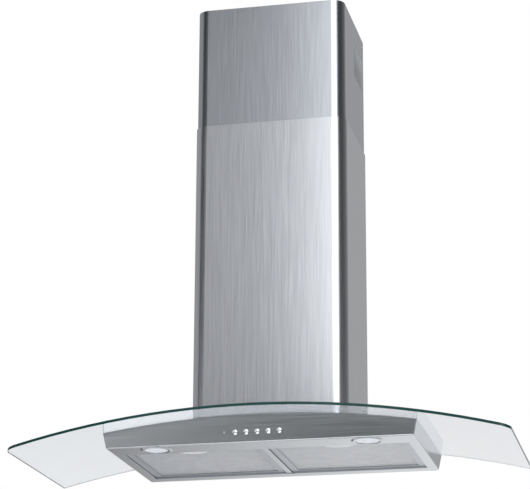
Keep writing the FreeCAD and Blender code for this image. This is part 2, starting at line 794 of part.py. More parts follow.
def half_moon(sketch, across, base, width, depth, sign=1):
    """Draw a circle segment: a level chord of a width, bulging by a depth towards plus or minus."""
    radius = f"(({width}) * ({width}) / 4 + ({depth}) * ({depth})) / (2 * ({depth}))"
    centre_height = f"({base}) + {sign} * (({depth}) - {radius})"
    centre = FreeCAD.Vector(value(across), value(centre_height), 0)
    left = FreeCAD.Vector(value(f"({across}) - ({width}) / 2"), value(base), 0)
    right = FreeCAD.Vector(value(f"({across}) + ({width}) / 2"), value(base), 0)
    top = FreeCAD.Vector(value(across), value(f"({base}) + {sign} * ({depth})"), 0)
    arc = sketch.addGeometry(Part.Arc(left, top, right), False)
    chord = sketch.addGeometry(Part.LineSegment(right, left), False)
    ends = (1, 2) if sketch.getPoint(arc, 1).distanceToPoint(left) < 1e-6 else (2, 1)
    pin_point(sketch, arc, 3, across, centre_height)
    sketch.addConstraint(Sketcher.Constraint("Coincident", arc, ends[1], chord, 1))
    sketch.addConstraint(Sketcher.Constraint("Coincident", arc, ends[0], chord, 2))
    pin_point(sketch, chord, 1, f"({across}) + ({width}) / 2", base)
    index = sketch.addConstraint(Sketcher.Constraint("DistanceY", -1, 1, chord, 2, value(base)))
    bind(sketch, f"Constraints[{index}]", base)
    return sketch


def hexagon(sketch, across, up, radius):
    """Draw a hexagon round a centre, with its corners at a radius."""
    corners = [
        (f"{across} + {radius} * cos({60 * turn} * 1 deg)", f"{up} + {radius} * sin({60 * turn} * 1 deg)")
        for turn in range(6)
    ]
    return outline(sketch, corners)


def filter_ends(side):
    """Left and right formulas of one filter, by side: minus or plus."""
    near = "(dividerWidth / 2 + filterClearance)"
    far = f"({OPENING_WIDTH} / 2 - filterClearance)"
    return ("-" + far, "-" + near) if side == "left" else (near, far)


def side_sign(side):
    """Sign of the X direction for a side's name."""
    return "-" if side == "left" else ""


def make_filter_frame(side):
    """Channel frame of one grease filter, with rear hooks and openings for handle and latch."""
    body = new_body("filter_frame_" + side)
    left, right = filter_ends(side)
    middle_line = side_sign(side) + FILTER_MIDDLE
    outer = new_sketch(body, "XY_Plane", "filterRecess")
    rectangle(outer, left, right, "-" + FILTER_FRONT, "-" + FILTER_REAR)
    block = pad(body, outer, "filterThickness")
    round_edges(body, block, upright_corner, "2 * filterLip")
    window = new_sketch(body, "XY_Plane")
    rectangle(window, f"{left} + filterBorder", f"{right} - filterBorder",
              f"-({FILTER_FRONT} - filterBorder)", f"-({FILTER_REAR} + filterBorder)")
    pocket(body, window)
    channel = new_sketch(body, "XY_Plane", "filterRecess + filterLip")
    rectangle(channel, f"{left} + filterLip", f"{right} - filterLip",
              f"-({FILTER_FRONT} - filterLip)", f"-({FILTER_REAR} + filterLip)")
    pocket(body, channel, "filterThickness - 2 * filterLip", both_ways=False, forwards=True)
    scoop = new_sketch(body, "XY_Plane", "filterRecess - 1")
    half_moon(scoop, middle_line, f"-({HANDLE_FRONT} + 0.2)", "handleWidth + 0.4", "handleDepth + 0.4")
    pocket(body, scoop, "filterLip + 1.5", both_ways=False, forwards=True)
    slot = new_sketch(body, "XY_Plane", f"{LATCH_LEVEL} - seatGap")
    rectangle(slot, f"{middle_line} - latchWidth / 2 - seatGap", f"{middle_line} + latchWidth / 2 + seatGap",
              f"-({FILTER_FRONT} + 1)", f"-({FILTER_FRONT} - filterLip - 1)")
    pocket(body, slot, "latchGauge + 2 * seatGap", both_ways=False, forwards=True)
    hooks = new_sketch(body, "XY_Plane", "upstandHeight + seatGap")
    for shift in ("-", "+"):
        across = f"{middle_line} {shift} {FILTER_WIDTH} / 4"
        rectangle(hooks, f"{across} - tabWidth / 2", f"{across} + tabWidth / 2",
                  f"-({FILTER_REAR} + filterLip)",
                  f"-({FILTER_REAR} - filterClearance - sheetGauge - tabReach)")
    pad(body, hooks, "filterLip")
    return body


def upright_corner(edge):
    """True for any straight upright edge."""
    box = edge.BoundBox
    return box.XLength < 1e-6 and box.YLength < 1e-6


def make_filter_mesh(side):
    """Lower and upper mesh sheets of one filter, notched round the finger cup and the latch."""
    body = new_body("filter_mesh_" + side)
    left, right = filter_ends(side)
    middle_line = side_sign(side) + FILTER_MIDDLE
    inset = "(filterLip + seatGap)"
    for level in (f"filterRecess + {inset}", f"{FILTER_TOP} - {inset} - meshGauge"):
        plan = new_sketch(body, "XY_Plane", level)
        rectangle(plan, f"{left} + {inset}", f"{right} - {inset}", f"-({FILTER_FRONT} - {inset})",
                  f"-({FILTER_REAR} + {inset})")
        pad(body, plan, "meshGauge")
    cup = new_sketch(body, "XY_Plane", "filterRecess")
    half_moon(cup, middle_line, f"-({HANDLE_FRONT} + handleInset)", "handleWidth + 2 * cupClearance",
              "handleDepth + handleInset + cupClearance")
    pocket(body, cup, "handleRecess + seatGap", both_ways=False, forwards=True)
    notch = new_sketch(body, "XY_Plane", "filterRecess + handleRecess")
    rectangle(notch, f"{middle_line} - latchWidth / 2 - 1", f"{middle_line} + latchWidth / 2 + 1",
              f"-({FILTER_FRONT} + 5)", f"-({FILTER_FRONT} - latchLength - latchTravel - 1)")
    pocket(body, notch, "filterThickness", both_ways=False, forwards=True)
    return body


def make_filter_handle(side):
    """Half-moon finger cup pressed from bright sheet, with a slot for the latch's finger tab."""
    body = new_body("filter_handle_" + side)
    middle_line = side_sign(side) + FILTER_MIDDLE
    plan = new_sketch(body, "XY_Plane", "filterRecess")
    half_moon(plan, middle_line, f"-{HANDLE_FRONT}", "handleWidth", "handleDepth")
    pad(body, plan, "handleRecess")
    solid = body.Shape.Volume
    bowl_radius = f"({CUP_RADIUS} - handleGauge)"
    chord_drop = f"({CUP_RADIUS} - handleDepth + handleGauge)"
    bowl_width = f"(2 * sqrt({bowl_radius} * {bowl_radius} - {chord_drop} * {chord_drop}))"
    bowl = new_sketch(body, "XY_Plane", "filterRecess")
    bowl_depth = "handleDepth - 2 * handleGauge"
    half_moon(bowl, middle_line, f"-({HANDLE_FRONT} - handleGauge)", bowl_width, bowl_depth)
    pocket(body, bowl, "handleRecess - handleGauge", both_ways=False, forwards=True)
    if body.Shape.Volume > solid / 2:
        raise RuntimeError(body.Label + " is not a hollow cup")
    slot = new_sketch(body, "XY_Plane")
    half = "(fingerTabWidth / 2 + seatGap)"
    rectangle(slot, f"{middle_line} - {half}", f"{middle_line} + {half}",
              f"-({FINGER_FRONT} + seatGap)", f"-({FINGER_FRONT} - latchGauge - latchTravel - seatGap)")
    pocket(body, slot)
    return body


def make_filter_latch(side):
    """Sliding latch of one filter: a flat bolt with a tab that a finger draws rearwards."""
    body = new_body("filter_latch_" + side)
    middle_line = side_sign(side) + FILTER_MIDDLE
    bolt = new_sketch(body, "XY_Plane", LATCH_LEVEL)
    front = f"-({FILTER_FRONT} + filterClearance - seatGap)"
    rectangle(bolt, f"{middle_line} - latchWidth / 2", f"{middle_line} + latchWidth / 2",
              front, f"-({FILTER_FRONT} - latchLength)")
    pad(body, bolt, "latchGauge")
    tab = new_sketch(body, "XY_Plane", f"{LATCH_LEVEL} + latchGauge")
    half = "(fingerTabWidth / 2)"
    rectangle(tab, f"{middle_line} - {half}", f"{middle_line} + {half}", f"-{FINGER_FRONT}",
              f"-({FINGER_FRONT} - latchGauge)")
    pad(body, tab, "handleRecess - 1", backwards=True)
    return body


def make_filter_divider():
    """Folded bar across the middle of the filter opening."""
    body = new_body("filter_divider")
    plan = new_sketch(body, "XY_Plane", "sheetGauge")
    rectangle(plan, "-dividerWidth / 2", "dividerWidth / 2", f"-(openingRear + {OPENING_DEPTH} - seatGap)",
              "-(openingRear + seatGap)")
    block = pad(body, plan, "upstandHeight")
    hollow(body, block, lambda face: faces(face, (0, 0, 1)), "sheetGauge", sharp=True)
    return body


def turned(label, corners, axis_sketch_plane="XZ_Plane"):
    """Body turned from an outline of radius and height pairs about its own upright axis."""
    body = new_body(label)
    profile = new_sketch(body, axis_sketch_plane)
    outline(profile, corners)
    revolve(body, profile)
    return body


def make_lamp(side):
    """One lamp: bezel, lens, reflector can and bulb, on a common upright axis."""
    lip = "(bezelDrop - lensRebate)"
    holder_radius = "(lensRadius + lensMargin)"
    collar = f"({holder_radius} + seatGap)"
    can_floor = "(lensThickness - lensRebate + seatGap)"
    can_top = f"{can_floor} + lampCanHeight"
    bezel = turned(
        "lamp_bezel_" + side,
        [
            ("lensRadius", "-bezelDrop"),
            ("bezelRadius - bezelTaper", "-bezelDrop"),
            ("bezelRadius", "0"),
            (f"{collar} + sleeveGauge", "0"),
            (f"{collar} + sleeveGauge", "sleeveHeight"),
            (collar, "sleeveHeight"),
            (collar, f"-bezelDrop + {lip}"),
            ("lensRadius", f"-bezelDrop + {lip}"),
        ],
    )
    lens = turned(
        "lamp_lens_" + side,
        [
            ("0", f"-bezelDrop + {lip}"),
            (holder_radius, f"-bezelDrop + {lip}"),
            (holder_radius, f"-bezelDrop + {lip} + lensThickness"),
            ("0", f"-bezelDrop + {lip} + lensThickness"),
        ],
    )
    holder = turned(
        "lamp_can_" + side,
        [
            (holder_radius, can_floor),
            (holder_radius, can_top),
            ("0", can_top),
            ("0", f"{can_top} - lampCanGauge"),
            (f"{holder_radius} - lampCanGauge", f"{can_top} - lampCanGauge"),
            (f"{holder_radius} - lampCanGauge", can_floor),
        ],
    )
    bulb_top = f"{can_top} - lampCanGauge"
    bulb = turned(
        "lamp_bulb_" + side,
        [
            ("0", bulb_top),
            ("bulbRadius", bulb_top),
            ("bulbRadius", f"{bulb_top} - bulbLength"),
            ("0", f"{bulb_top} - bulbLength"),
        ],
    )
    pieces = [bezel, lens, holder, bulb]
    for piece in pieces:
        place(piece, side_sign(side) + f"{LAMP_ACROSS}", "-" + LAMP_DEPTH)
    return pieces


def on_panel(body, across):
    """Put a control on the front panel's outer face, with its own Z axis pointing out of it."""
    return place(body, across, "-" + PANEL_FACE, "controlHeight", turn="90 + frontLeanAngle")


def make_button(label, across):
    """Round push button: bevelled cap, retaining collar behind the panel and a stem."""
    body = turned(
        label,
        [
            ("0", "-" + STEM_LENGTH),
            ("stemRadius", "-" + STEM_LENGTH),
            ("stemRadius", "-2.5 * sheetGauge"),
            ("buttonHoleRadius + retainerLap", "-2.5 * sheetGauge"),
            ("buttonHoleRadius + retainerLap", "-1.5 * sheetGauge"),
            ("buttonRadius", "-1.5 * sheetGauge"),
            ("buttonRadius", "buttonProud - 0.8"),
            ("buttonRadius * 0.85", "buttonProud"),
            ("0", "buttonProud"),
        ],
    )
    return on_panel(body, across)


def make_switch_block():
    """Moulded switch housing behind the panel, bored for the buttons and the indicator."""
    body = new_body("switch_block")
    low = "-(sheetGauge + seatGap)"
    face = new_sketch(body, "XY_Plane", low)
    rectangle(face, "-(3 * buttonPitch + switchEndMargin)", "2 * buttonPitch + switchEndMargin",
              "-switchBlockHeight / 2", "switchBlockHeight / 2")
    pad(body, face, "switchBlockDepth", backwards=True)
    well = "(buttonHoleRadius + retainerLap + 0.4)"
    wells = new_sketch(body, "XY_Plane", low)
    bores = new_sketch(body, "XY_Plane", low)
    for across in BUTTON_PLACES:
        rectangle(wells, f"{across} - {well}", f"{across} + {well}", f"-{well}", well)
        circle(bores, across, "0", "stemRadius + stemClearance")
    circle(wells, INDICATOR_PLACE, "0", "indicatorRadius - 0.1")
    pocket(body, wells, "buttonTravel + 2.5 * sheetGauge", both_ways=False)
    pocket(body, bores, STEM_LENGTH + " + buttonTravel", both_ways=False)
    return on_panel(body, "0")


def make_indicator():
    """Small clear lens of the running light."""
    body = turned(
        "indicator_lens",
        [
            ("0", "-4 * sheetGauge"),
            ("indicatorRadius - seatGap", "-4 * sheetGauge"),
            ("indicatorRadius - seatGap", "1.5"),
            ("0", "1.5"),
        ],
    )
    return on_panel(body, INDICATOR_PLACE)


def make_riser():
    """Rectangular steel throat through the glass, with a flange that clamps the glass."""
    body = new_body("riser")
    tube = new_sketch(body, "XY_Plane", "crownHeight - 10")
    rectangle(tube, "-riserHalfWidth", "riserHalfWidth", "-riserFront", "-riserRear")
    pad(body, tube, "riserTop - crownHeight + 10")
    flange = new_sketch(body, "XY_Plane", "riserTop - riserGauge")
    rectangle(flange, "-(riserHalfWidth + riserFlange)", "riserHalfWidth + riserFlange",
              "-(riserFront + riserFlangeFront)", "-" + REAR_SEAT)
    pad(body, flange, "riserGauge")
    bore = new_sketch(body, "XY_Plane")
    rectangle(bore, "-(riserHalfWidth - riserGauge)", "riserHalfWidth - riserGauge",
              "-(riserFront - riserGauge)", "-(riserRear + riserGauge)")
    pocket(body, bore)
    bolt_holes(body, "boltRadius + boltClearance")
    return body


def make_riser_gasket():
    """Foam frame between the riser's flange and the curved glass."""
    body = new_body("riser_gasket")
    plan = new_sketch(body, "XY_Plane", "crownHeight - 10")
    rectangle(plan, "-(riserHalfWidth + riserFlange)", "riserHalfWidth + riserFlange",
              "-(riserFront + riserFlangeFront)", "-(glassWallGap + 1)")
    pad(body, plan, "riserTop - riserGauge - crownHeight + 10 - pressGap")
    hole = new_sketch(body, "XY_Plane")
    rectangle(hole, "-(riserHalfWidth + glassHoleMargin)", "riserHalfWidth + glassHoleMargin",
              "-(riserFront + glassHoleMargin)", "-(riserRear - glassHoleMargin)")
    pocket(body, hole)
    bolt_holes(body, "boltRadius + coverBoltClearance")
    cut_at_arc(body, GLASS_TOP_RADIUS + " + pressGap", BELOW_ARC)
    return body


def make_riser_bolts():
    """Four hexagon bolts through flange, glass and cover."""
    body = new_body("riser_bolts")
    shanks = new_sketch(body, "XY_Plane", "riserTop")
    for across, up in bolt_places():
        circle(shanks, across, up, "boltRadius")
    pad(body, shanks, "riserTop - crownHeight + 14", backwards=True)
    heads = new_sketch(body, "XY_Plane", "riserTop")
    for across, up in bolt_places():
        hexagon(heads, across, up, "boltRadius * 1.8")
    pad(body, heads, "boltRadius * 1.4")
    return body


def make_riser_nuts():
    """Four nuts under the top cover."""
    body = new_body("riser_nuts")
    nuts = new_sketch(body, "XY_Plane", NUT_TOP)
    for across, up in bolt_places():
        hexagon(nuts, across, up, "boltRadius * 1.8")
    pad(body, nuts, "boltRadius * 1.6", backwards=True)
    bores = new_sketch(body, "XY_Plane")
    for across, up in bolt_places():
        circle(bores, across, up, "boltRadius + nutClearance")
    pocket(body, bores)
    return body


def make_casing():
    """Blower casing: sheet box, open below, with the scroll's outlet in its roof."""
    body = new_body("blower_casing")
    plan = new_sketch(body, "XY_Plane", "riserTop")
    rectangle(plan, "-casingWidth / 2", "casingWidth / 2", f"-({REAR_SEAT} + casingDepth)", "-" + REAR_SEAT)
    block = pad(body, plan, "casingHeight")
    hollow(body, block, lambda face: faces(face, (0, 0, -1)), "casingGauge", sharp=True)
    outlet = new_sketch(body, "XY_Plane", CASING_TOP)
    half = "(scrollWidth / 2 - scrollWall)"
    rectangle(outlet, f"-{half}", half, "-" + DUCT_FRONT, "-" + DUCT_REAR)
    pocket(body, outlet, "4 * casingGauge")
    return body


def volute(sketch, wall, top):
    """Draw the scroll's outline in the Y-Z plane, grown by a wall, up to a level at its outlet.

    Three quarter arcs of growing radius run from the tongue round the back and under the wheel.
    """
    axis_y = "(-impellerAxisDepth)"
    axis_z = AXIS_HEIGHT
    step = "scrollStep / 2"
    rear_line = f"(-{DUCT_REAR} + {wall})"
    front_line = f"(-{DUCT_FRONT} - {wall})"
    centres = (
        (f"({axis_y} + {step})", f"({axis_z} - {step})"),
        (f"({axis_y} - {step})", f"({axis_z} - {step})"),
        (f"({axis_y} - {step})", f"({axis_z} + {step})"),
    )
    radii = [f"(scrollRadius + {index} * scrollStep + {wall})" for index in range(3)]
    tongue = math.acos(value(f"({rear_line} - {centres[0][0]}) / {radii[0]}"))
    turns = ((0.0, tongue), (-math.pi / 2, 0.0), (-math.pi, -math.pi / 2))
    arcs = []
    for (across, up), radius, (start, end) in zip(centres, radii, turns):
        centre = FreeCAD.Vector(value(across), value(up), 0)
        ring = Part.Circle(centre, FreeCAD.Vector(0, 0, 1), value(radius))
        arc = sketch.addGeometry(Part.ArcOfCircle(ring, start, end), False)
        pin_point(sketch, arc, 3, across, up)
        pin_radius(sketch, arc, radius)
        arcs.append(arc)
    pins = (
        (arcs[0], 1, "DistanceY", centres[0][1]),
        (arcs[0], 2, "DistanceX", rear_line),
        (arcs[1], 2, "DistanceY", centres[1][1]),
        (arcs[1], 1, "DistanceX", centres[1][0]),
        (arcs[2], 2, "DistanceX", centres[2][0]),
        (arcs[2], 1, "DistanceY", centres[2][1]),
    )
    for arc, point, kind, text in pins:
        index = sketch.addConstraint(Sketcher.Constraint(kind, -1, 1, arc, point, value(text)))
        bind(sketch, f"Constraints[{index}]", text)
    level = value(top)
    tongue_point = sketch.getPoint(arcs[0], 2)
    front_point = sketch.getPoint(arcs[2], 1)
    rear_top = FreeCAD.Vector(tongue_point.x, level, 0)
    front_top = FreeCAD.Vector(front_point.x, level, 0)
    rear = sketch.addGeometry(Part.LineSegment(tongue_point, rear_top), False)
    lid = sketch.addGeometry(Part.LineSegment(rear_top, front_top), False)
    front = sketch.addGeometry(Part.LineSegment(front_top, front_point), False)
    sketch.addConstraint(Sketcher.Constraint("Coincident", arcs[0], 2, rear, 1))
    sketch.addConstraint(Sketcher.Constraint("Coincident", rear, 2, lid, 1))
    sketch.addConstraint(Sketcher.Constraint("Coincident", lid, 2, front, 1))
    sketch.addConstraint(Sketcher.Constraint("Coincident", front, 2, arcs[2], 1))
    pin_point(sketch, lid, 1, rear_line, top)
    pin_point(sketch, lid, 2, front_line, top)
    return sketch


def make_scroll_housing():
    """Scroll of the fan: spiral wall with the motor-side plate."""
    body = new_body("scroll_housing")
    outer = new_sketch(body, "YZ_Plane", "-" + SCROLL_FACE)
    volute(outer, "scrollWall", SCROLL_TOP)
    pad(body, outer, "scrollWidth")
    inner = new_sketch(body, "YZ_Plane", "-(" + SCROLL_FACE + " + 1)")
    volute(inner, "0", SCROLL_TOP + " + 5")
    pocket(body, inner, "scrollWidth - scrollWall + 1", both_ways=False, forwards=True)
    hole = new_sketch(body, "YZ_Plane")
    circle(hole, "-impellerAxisDepth", AXIS_HEIGHT, "motorRadius * 0.7")
    pocket(body, hole, "scrollWidth", both_ways=False, forwards=True)
    return body


def make_scroll_cover():
    """Inlet-side plate of the scroll with its inlet ring."""
    body = new_body("scroll_cover")
    plate = new_sketch(body, "YZ_Plane", "-" + SCROLL_FACE)
    volute(plate, "scrollWall", SCROLL_TOP)
    pad(body, plate, "scrollWall", backwards=True)
    rim = new_sketch(body, "YZ_Plane", "-" + SCROLL_FACE)
    circle(rim, "-impellerAxisDepth", AXIS_HEIGHT, "inletRadius + inletRim")
    pad(body, rim, "scrollWall + inletLip", backwards=True)
    hole = new_sketch(body, "YZ_Plane")
    circle(hole, "-impellerAxisDepth", AXIS_HEIGHT, "inletRadius")
    pocket(body, hole)
    return body


def across_axis(body, start):
    """Lay a turned body along X on the fan's axis, beginning at a formula."""
    return place(body, start, "-impellerAxisDepth", AXIS_HEIGHT, axis=(0, 1, 0), turn="90")


def make_motor():
    """Motor can with a clear bore for its shaft."""
    bore = "(shaftRadius + shaftClearance)"
    body = turned(
        "motor",
        [
            (bore, "0"),
            ("motorRadius", "0"),
            ("motorRadius", "motorLength"),
            (bore, "motorLength"),
        ],
    )
    return across_axis(body, MOTOR_START)


def make_motor_bracket():
    """Cup that clamps the motor to the scroll's side plate."""
    cup = "(motorRadius + seatGap)"
    plate = "(scrollWall + motorStandOff)"
    body = turned(
        "motor_bracket",
        [
            (cup, f"-{plate}"),
            ("motorRadius + motorFlange", f"-{plate}"),
            ("motorRadius + motorFlange", f"-{plate} + scrollWall"),
            (f"{cup} + scrollWall", f"-{plate} + scrollWall"),
            (f"{cup} + scrollWall", "motorLength * 0.4"),
            (cup, "motorLength * 0.4"),
        ],
    )
    return across_axis(body, MOTOR_START)


def make_impeller():
    """Fan wheel: forward-curved blades between a ring and a dished back disc with its hub."""
    body = new_body("impeller")
    bore = "shaftRadius"
    disc = new_sketch(body, "XZ_Plane")
    outline(
        disc,
        [
            (bore, "impellerLength - 22"),
            ("shaftRadius * 2.4", "impellerLength - 22"),
            ("shaftRadius * 2.4", "impellerLength - 8"),
            ("bladeInnerRadius * 0.7", "impellerLength - wheelDisc"),
            ("impellerRadius", "impellerLength - wheelDisc"),
            ("impellerRadius", "impellerLength"),
            ("bladeInnerRadius * 0.7 - 1", "impellerLength"),
            (bore, "impellerLength - 6.5"),
        ],
    )
    revolve(body, disc)
    blade = new_sketch(body, "XY_Plane", "1")
    draw_blade(blade)
    first = pad(body, blade, "impellerLength - 2")
    pattern = body.newObject("PartDesign::PolarPattern", "blades")
    pattern.Originals = [first]
    pattern.Axis = (blade, ["N_Axis"])
    pattern.Angle = 360
    bind(pattern, "Occurrences", "bladeCount")
    body.Tip = pattern
    settle(pattern)
    ring = new_sketch(body, "XY_Plane")
    circle(ring, "0", "0", "impellerRadius")
    circle(ring, "0", "0", "impellerRadius - wheelRing")
    pad(body, ring, "wheelRingHeight")
    return across_axis(body, IMPELLER_START)


def draw_blade(sketch):
    """Draw one forward-curved blade in two straight runs, leaning further at the wheel's rim."""
    low = "(bladeInnerRadius + 0.2)"
    high = "(impellerRadius - 0.5)"
    reach = f"({high} - {low})"
    knee = (f"{low} + {reach} * 0.5", f"{reach} * 0.12")
    tip = (high, f"{reach} * 0.45")
    thick = "1.2 * bladeGauge"
    outline(
        sketch,
        [
            (low, "0"),
            knee,
            tip,
            (tip[0], f"{tip[1]} + {thick}"),
            (knee[0], f"{knee[1]} + {thick}"),
            (low, thick),
        ],
    )
    return sketch


def make_motor_shaft():
    """Shaft from the motor through the wheel's hub."""
    start = f"({IMPELLER_START} + impellerLength - 32)"
    end = f"({MOTOR_START} + motorLength - 4)"
    body = turned(
        "motor_shaft",
        [("0", "0"), ("shaftRadius", "0"), ("shaftRadius", f"{end} - {start}"), ("0", f"{end} - {start}")],
    )
    return across_axis(body, start)


def make_hub_nut():
    """Nut that holds the wheel on the shaft."""
    body = new_body("hub_nut")
    plan = new_sketch(body, "XY_Plane")
    hexagon(plan, "0", "0", "shaftRadius * 1.9")
    circle(plan, "0", "0", "shaftRadius")
    pad(body, plan, "6")
    return across_axis(body, f"({IMPELLER_START} + impellerLength - 28)")


def make_outlet_collar():
    """Outlet adapter: flanged box over the scroll's mouth, with a round spigot and a rim for the flaps."""
    body = new_body("outlet_collar")
    half = "(scrollWidth / 2 - scrollWall)"
    side = "(collarRadius + collarBoxMargin)"
    room = f"({side} - collarWall)"
    case = new_sketch(body, "XY_Plane", CASING_TOP)
    rectangle(case, f"-{side}", side, f"-(collarDepth + {side})", f"-(collarDepth - {side})")
    pad(body, case, "collarPlate + collarTransition")
    spigot = new_sketch(body, "XY_Plane", SPIGOT_BASE)
    circle(spigot, "0", "-collarDepth", "collarRadius")
    pad(body, spigot, "collarSpigot")
    chamber = new_sketch(body, "XY_Plane", f"{CASING_TOP} + collarPlate")
    rectangle(chamber, f"-{room}", room, f"-(collarDepth + {room})", f"-(collarDepth - {room})")
    pocket(body, chamber, "collarTransition - collarWall", both_ways=False, forwards=True)
    throat = new_sketch(body, "XY_Plane", CASING_TOP)
    rectangle(throat, f"-{half}", half, f"-{DUCT_FRONT}", f"-{DUCT_REAR}")
    pocket(body, throat, "collarPlate", both_ways=False, forwards=True)
    bore = new_sketch(body, "XY_Plane", f"{SPIGOT_BASE} - collarWall")
    circle(bore, "0", "-collarDepth", "collarRadius - collarWall")
    pocket(body, bore, "collarSpigot + 2 * collarWall", both_ways=False, forwards=True)
    stop = new_sketch(body, "XY_Plane", f"{FLAP_HEIGHT} - flapGauge / 2 - seatGap")
    circle(stop, "0", "-collarDepth", "collarRadius - collarWall / 2")
    circle(stop, "0", "-collarDepth", "collarRadius - collarWall - collarRim")
    pad(body, stop, "collarPlate", backwards=True)
    axle = new_sketch(body, "YZ_Plane")
    circle(axle, "-collarDepth", FLAP_HEIGHT, "spindleRadius + spindleClearance")
    pocket(body, axle)
    return body


def make_flap_spindle():
    """Rod that both flaps hang on."""
    body = new_body("flap_spindle")
    rod = new_sketch(body, "YZ_Plane")
    circle(rod, "-collarDepth", FLAP_HEIGHT, "spindleRadius")
    pad(body, rod, "2 * collarRadius", both_ways=True)
    return body


def make_flap(label, sign, knuckles):
    """Half-round backdraft flap with rolled knuckles round the spindle."""
    body = new_body(label)
    plate = new_sketch(body, "XY_Plane", f"{FLAP_HEIGHT} - flapGauge / 2")
    reach = "(collarRadius - collarWall - flapClearance)"
    gap = "(spindleRadius + knuckleWall + flapSetBack)"
    width = f"(2 * sqrt({reach} * {reach} - {gap} * {gap}))"
    half_moon(plate, "0", f"-collarDepth + {sign} * {gap}", width, f"{reach} - {gap}", sign)
    pad(body, plate, "flapGauge")
    for start, end in knuckles:
        leaf = new_sketch(body, "XY_Plane", f"{FLAP_HEIGHT} - flapGauge / 2")
        ends = (f"-collarDepth + {sign} * ({gap} + 3)", "-collarDepth")
        low, high = ends if sign < 0 else ends[::-1]
        rectangle(leaf, f"{start} * {reach}", f"{end} * {reach}", low, high)
        pad(body, leaf, "flapGauge")
        roll = new_sketch(body, "YZ_Plane", f"{start} * {reach}")
        circle(roll, "-collarDepth", FLAP_HEIGHT, "spindleRadius + knuckleWall")
        pad(body, roll, f"{end - start} * {reach}")
    bore = new_sketch(body, "YZ_Plane")
    circle(bore, "-collarDepth", FLAP_HEIGHT, "spindleRadius + spindleClearance")
    pocket(body, bore)
    return body


def make_capacitor():
    """Motor capacitor, a plain cylinder at the casing's side."""
    body = turned(
        "capacitor",
        [
            ("0", "0"),
            ("capacitorRadius", "0"),
            ("capacitorRadius", "capacitorLength"),
            ("0", "capacitorLength"),
        ],
    )
    return place(body, CAPACITOR_ACROSS, CAPACITOR_DEPTH, AXIS_HEIGHT)


def make_capacitor_clip():
    """Strap that holds the capacitor to the casing wall."""
    body = turned(
        "capacitor_clip",
        [
            ("capacitorRadius + seatGap", "0"),
            ("capacitorRadius + seatGap + clipGauge", "0"),
            ("capacitorRadius + seatGap + clipGauge", "clipWidth"),
            ("capacitorRadius + seatGap", "clipWidth"),
        ],
    )
    return place(body, CAPACITOR_ACROSS, CAPACITOR_DEPTH, AXIS_HEIGHT + " + capacitorLength / 2")


def make_strip_box(label, across, length, depth, height):
    """Closed moulded box that stands on the shell's front strip."""
    body = new_body(label)
    rear = f"(openingRear + {OPENING_DEPTH} + boxClearance)"
    plan = new_sketch(body, "XY_Plane", "sheetGauge")
    rectangle(plan, f"{across} - {length} / 2", f"{across} + {length} / 2", f"-({rear} + {depth})",
              f"-{rear}")
    block = pad(body, plan, height)
    round_edges(body, block, upright_corner, "boxCorner")
    return body


def make_chimney_bracket():
    """Wall strip at the chimney's top, joggled in front of the section's return flanges."""
    body = new_body("chimney_bracket")
    tab = f"(chimneyWidth / 2 - {UPPER_INSET} - chimneyGauge - seatGap)"
    step = f"({UPPER_REAR} + chimneyGauge + seatGap)"
    flat = f"(chimneyWidth / 2 - {UPPER_INSET} - chimneyFlange - bracketEndGap)"
    right = [
        (flat, "0"),
        (f"{flat} + joggleRun", f"-{step}"),
        (tab, f"-{step}"),
        (tab, "-bracketTab"),
        (f"{tab} - bracketGauge", "-bracketTab"),
        (f"{tab} - bracketGauge", f"-({step} + bracketGauge)"),
        (f"{flat} + 2", f"-({step} + bracketGauge)"),
        (f"{flat} - 1", "-bracketGauge"),
    ]
    left = [(f"-({across})", up) for across, up in reversed(right)]
    plan = new_sketch(body, "XY_Plane", "upperChimneyTop - bracketDrop")
    outline(plan, right + left)
    pad(body, plan, "bracketHeight", backwards=True)
    holes = new_sketch(body, "XZ_Plane")
    for side in ("-", ""):
        circle(holes, side + "bracketHoleAcross / 2", BRACKET_MIDDLE, "lowerHoleRadius")
    pocket(body, holes)
    return body


def make_chimney_screws():
    """Two pan-head screws that hold the upper section's sides to the bracket's tabs."""
    body = new_body("chimney_screws")
    face = f"(chimneyWidth / 2 - {UPPER_INSET})"
    for sign, backwards in (("-", True), ("", False)):
        head = new_sketch(body, "YZ_Plane", sign + face)
        circle(head, "-bracketTab / 2", BRACKET_MIDDLE, "chimneyScrewRadius")
        pad(body, head, "0.6 * telescopeGap", backwards=backwards)
    return body


def make_all():
    """Build every sub-part."""
    pieces = [
        make_canopy_shell(),
        make_top_cover(),
        make_glass(),
        make_glass_gasket(),
        make_back_plate(),
        make_lower_chimney(),
        make_upper_chimney(),
        make_chimney_guides(),
        make_chimney_bracket(),
        make_chimney_screws(),
        make_filter_divider(),
    ]
    for side in ("left", "right"):
        pieces += [
            make_filter_frame(side),
            make_filter_mesh(side),
            make_filter_handle(side),
            make_filter_latch(side),
        ]
        pieces += make_lamp(side)
    pieces += [make_switch_block(), make_indicator()]
    pieces += [make_button(label, across) for label, across in zip(BUTTONS, BUTTON_PLACES)]
    pieces += [
        make_riser(),
        make_riser_gasket(),
        make_riser_bolts(),
        make_riser_nuts(),
        make_casing(),
        make_scroll_housing(),
        make_scroll_cover(),
        make_motor(),
        make_motor_bracket(),
        make_impeller(),
        make_motor_shaft(),
        make_hub_nut(),
        make_outlet_collar(),
        make_flap_spindle(),
        make_flap("flap_front", -1, ((-0.6, -0.3), (0.3, 0.6))),
        make_flap("flap_rear", 1, ((-0.9, -0.62), (-0.28, 0.28), (0.62, 0.9))),
        make_capacitor(),
        make_capacitor_clip(),
        make_strip_box("lamp_transformer", "transformerAcross", "transformerLength", "transformerDepth",
                       "transformerHeight"),
        make_strip_box("terminal_box", "-terminalAcross", "terminalLength", "terminalDepth",
                       "terminalHeight"),
    ]
    return pieces


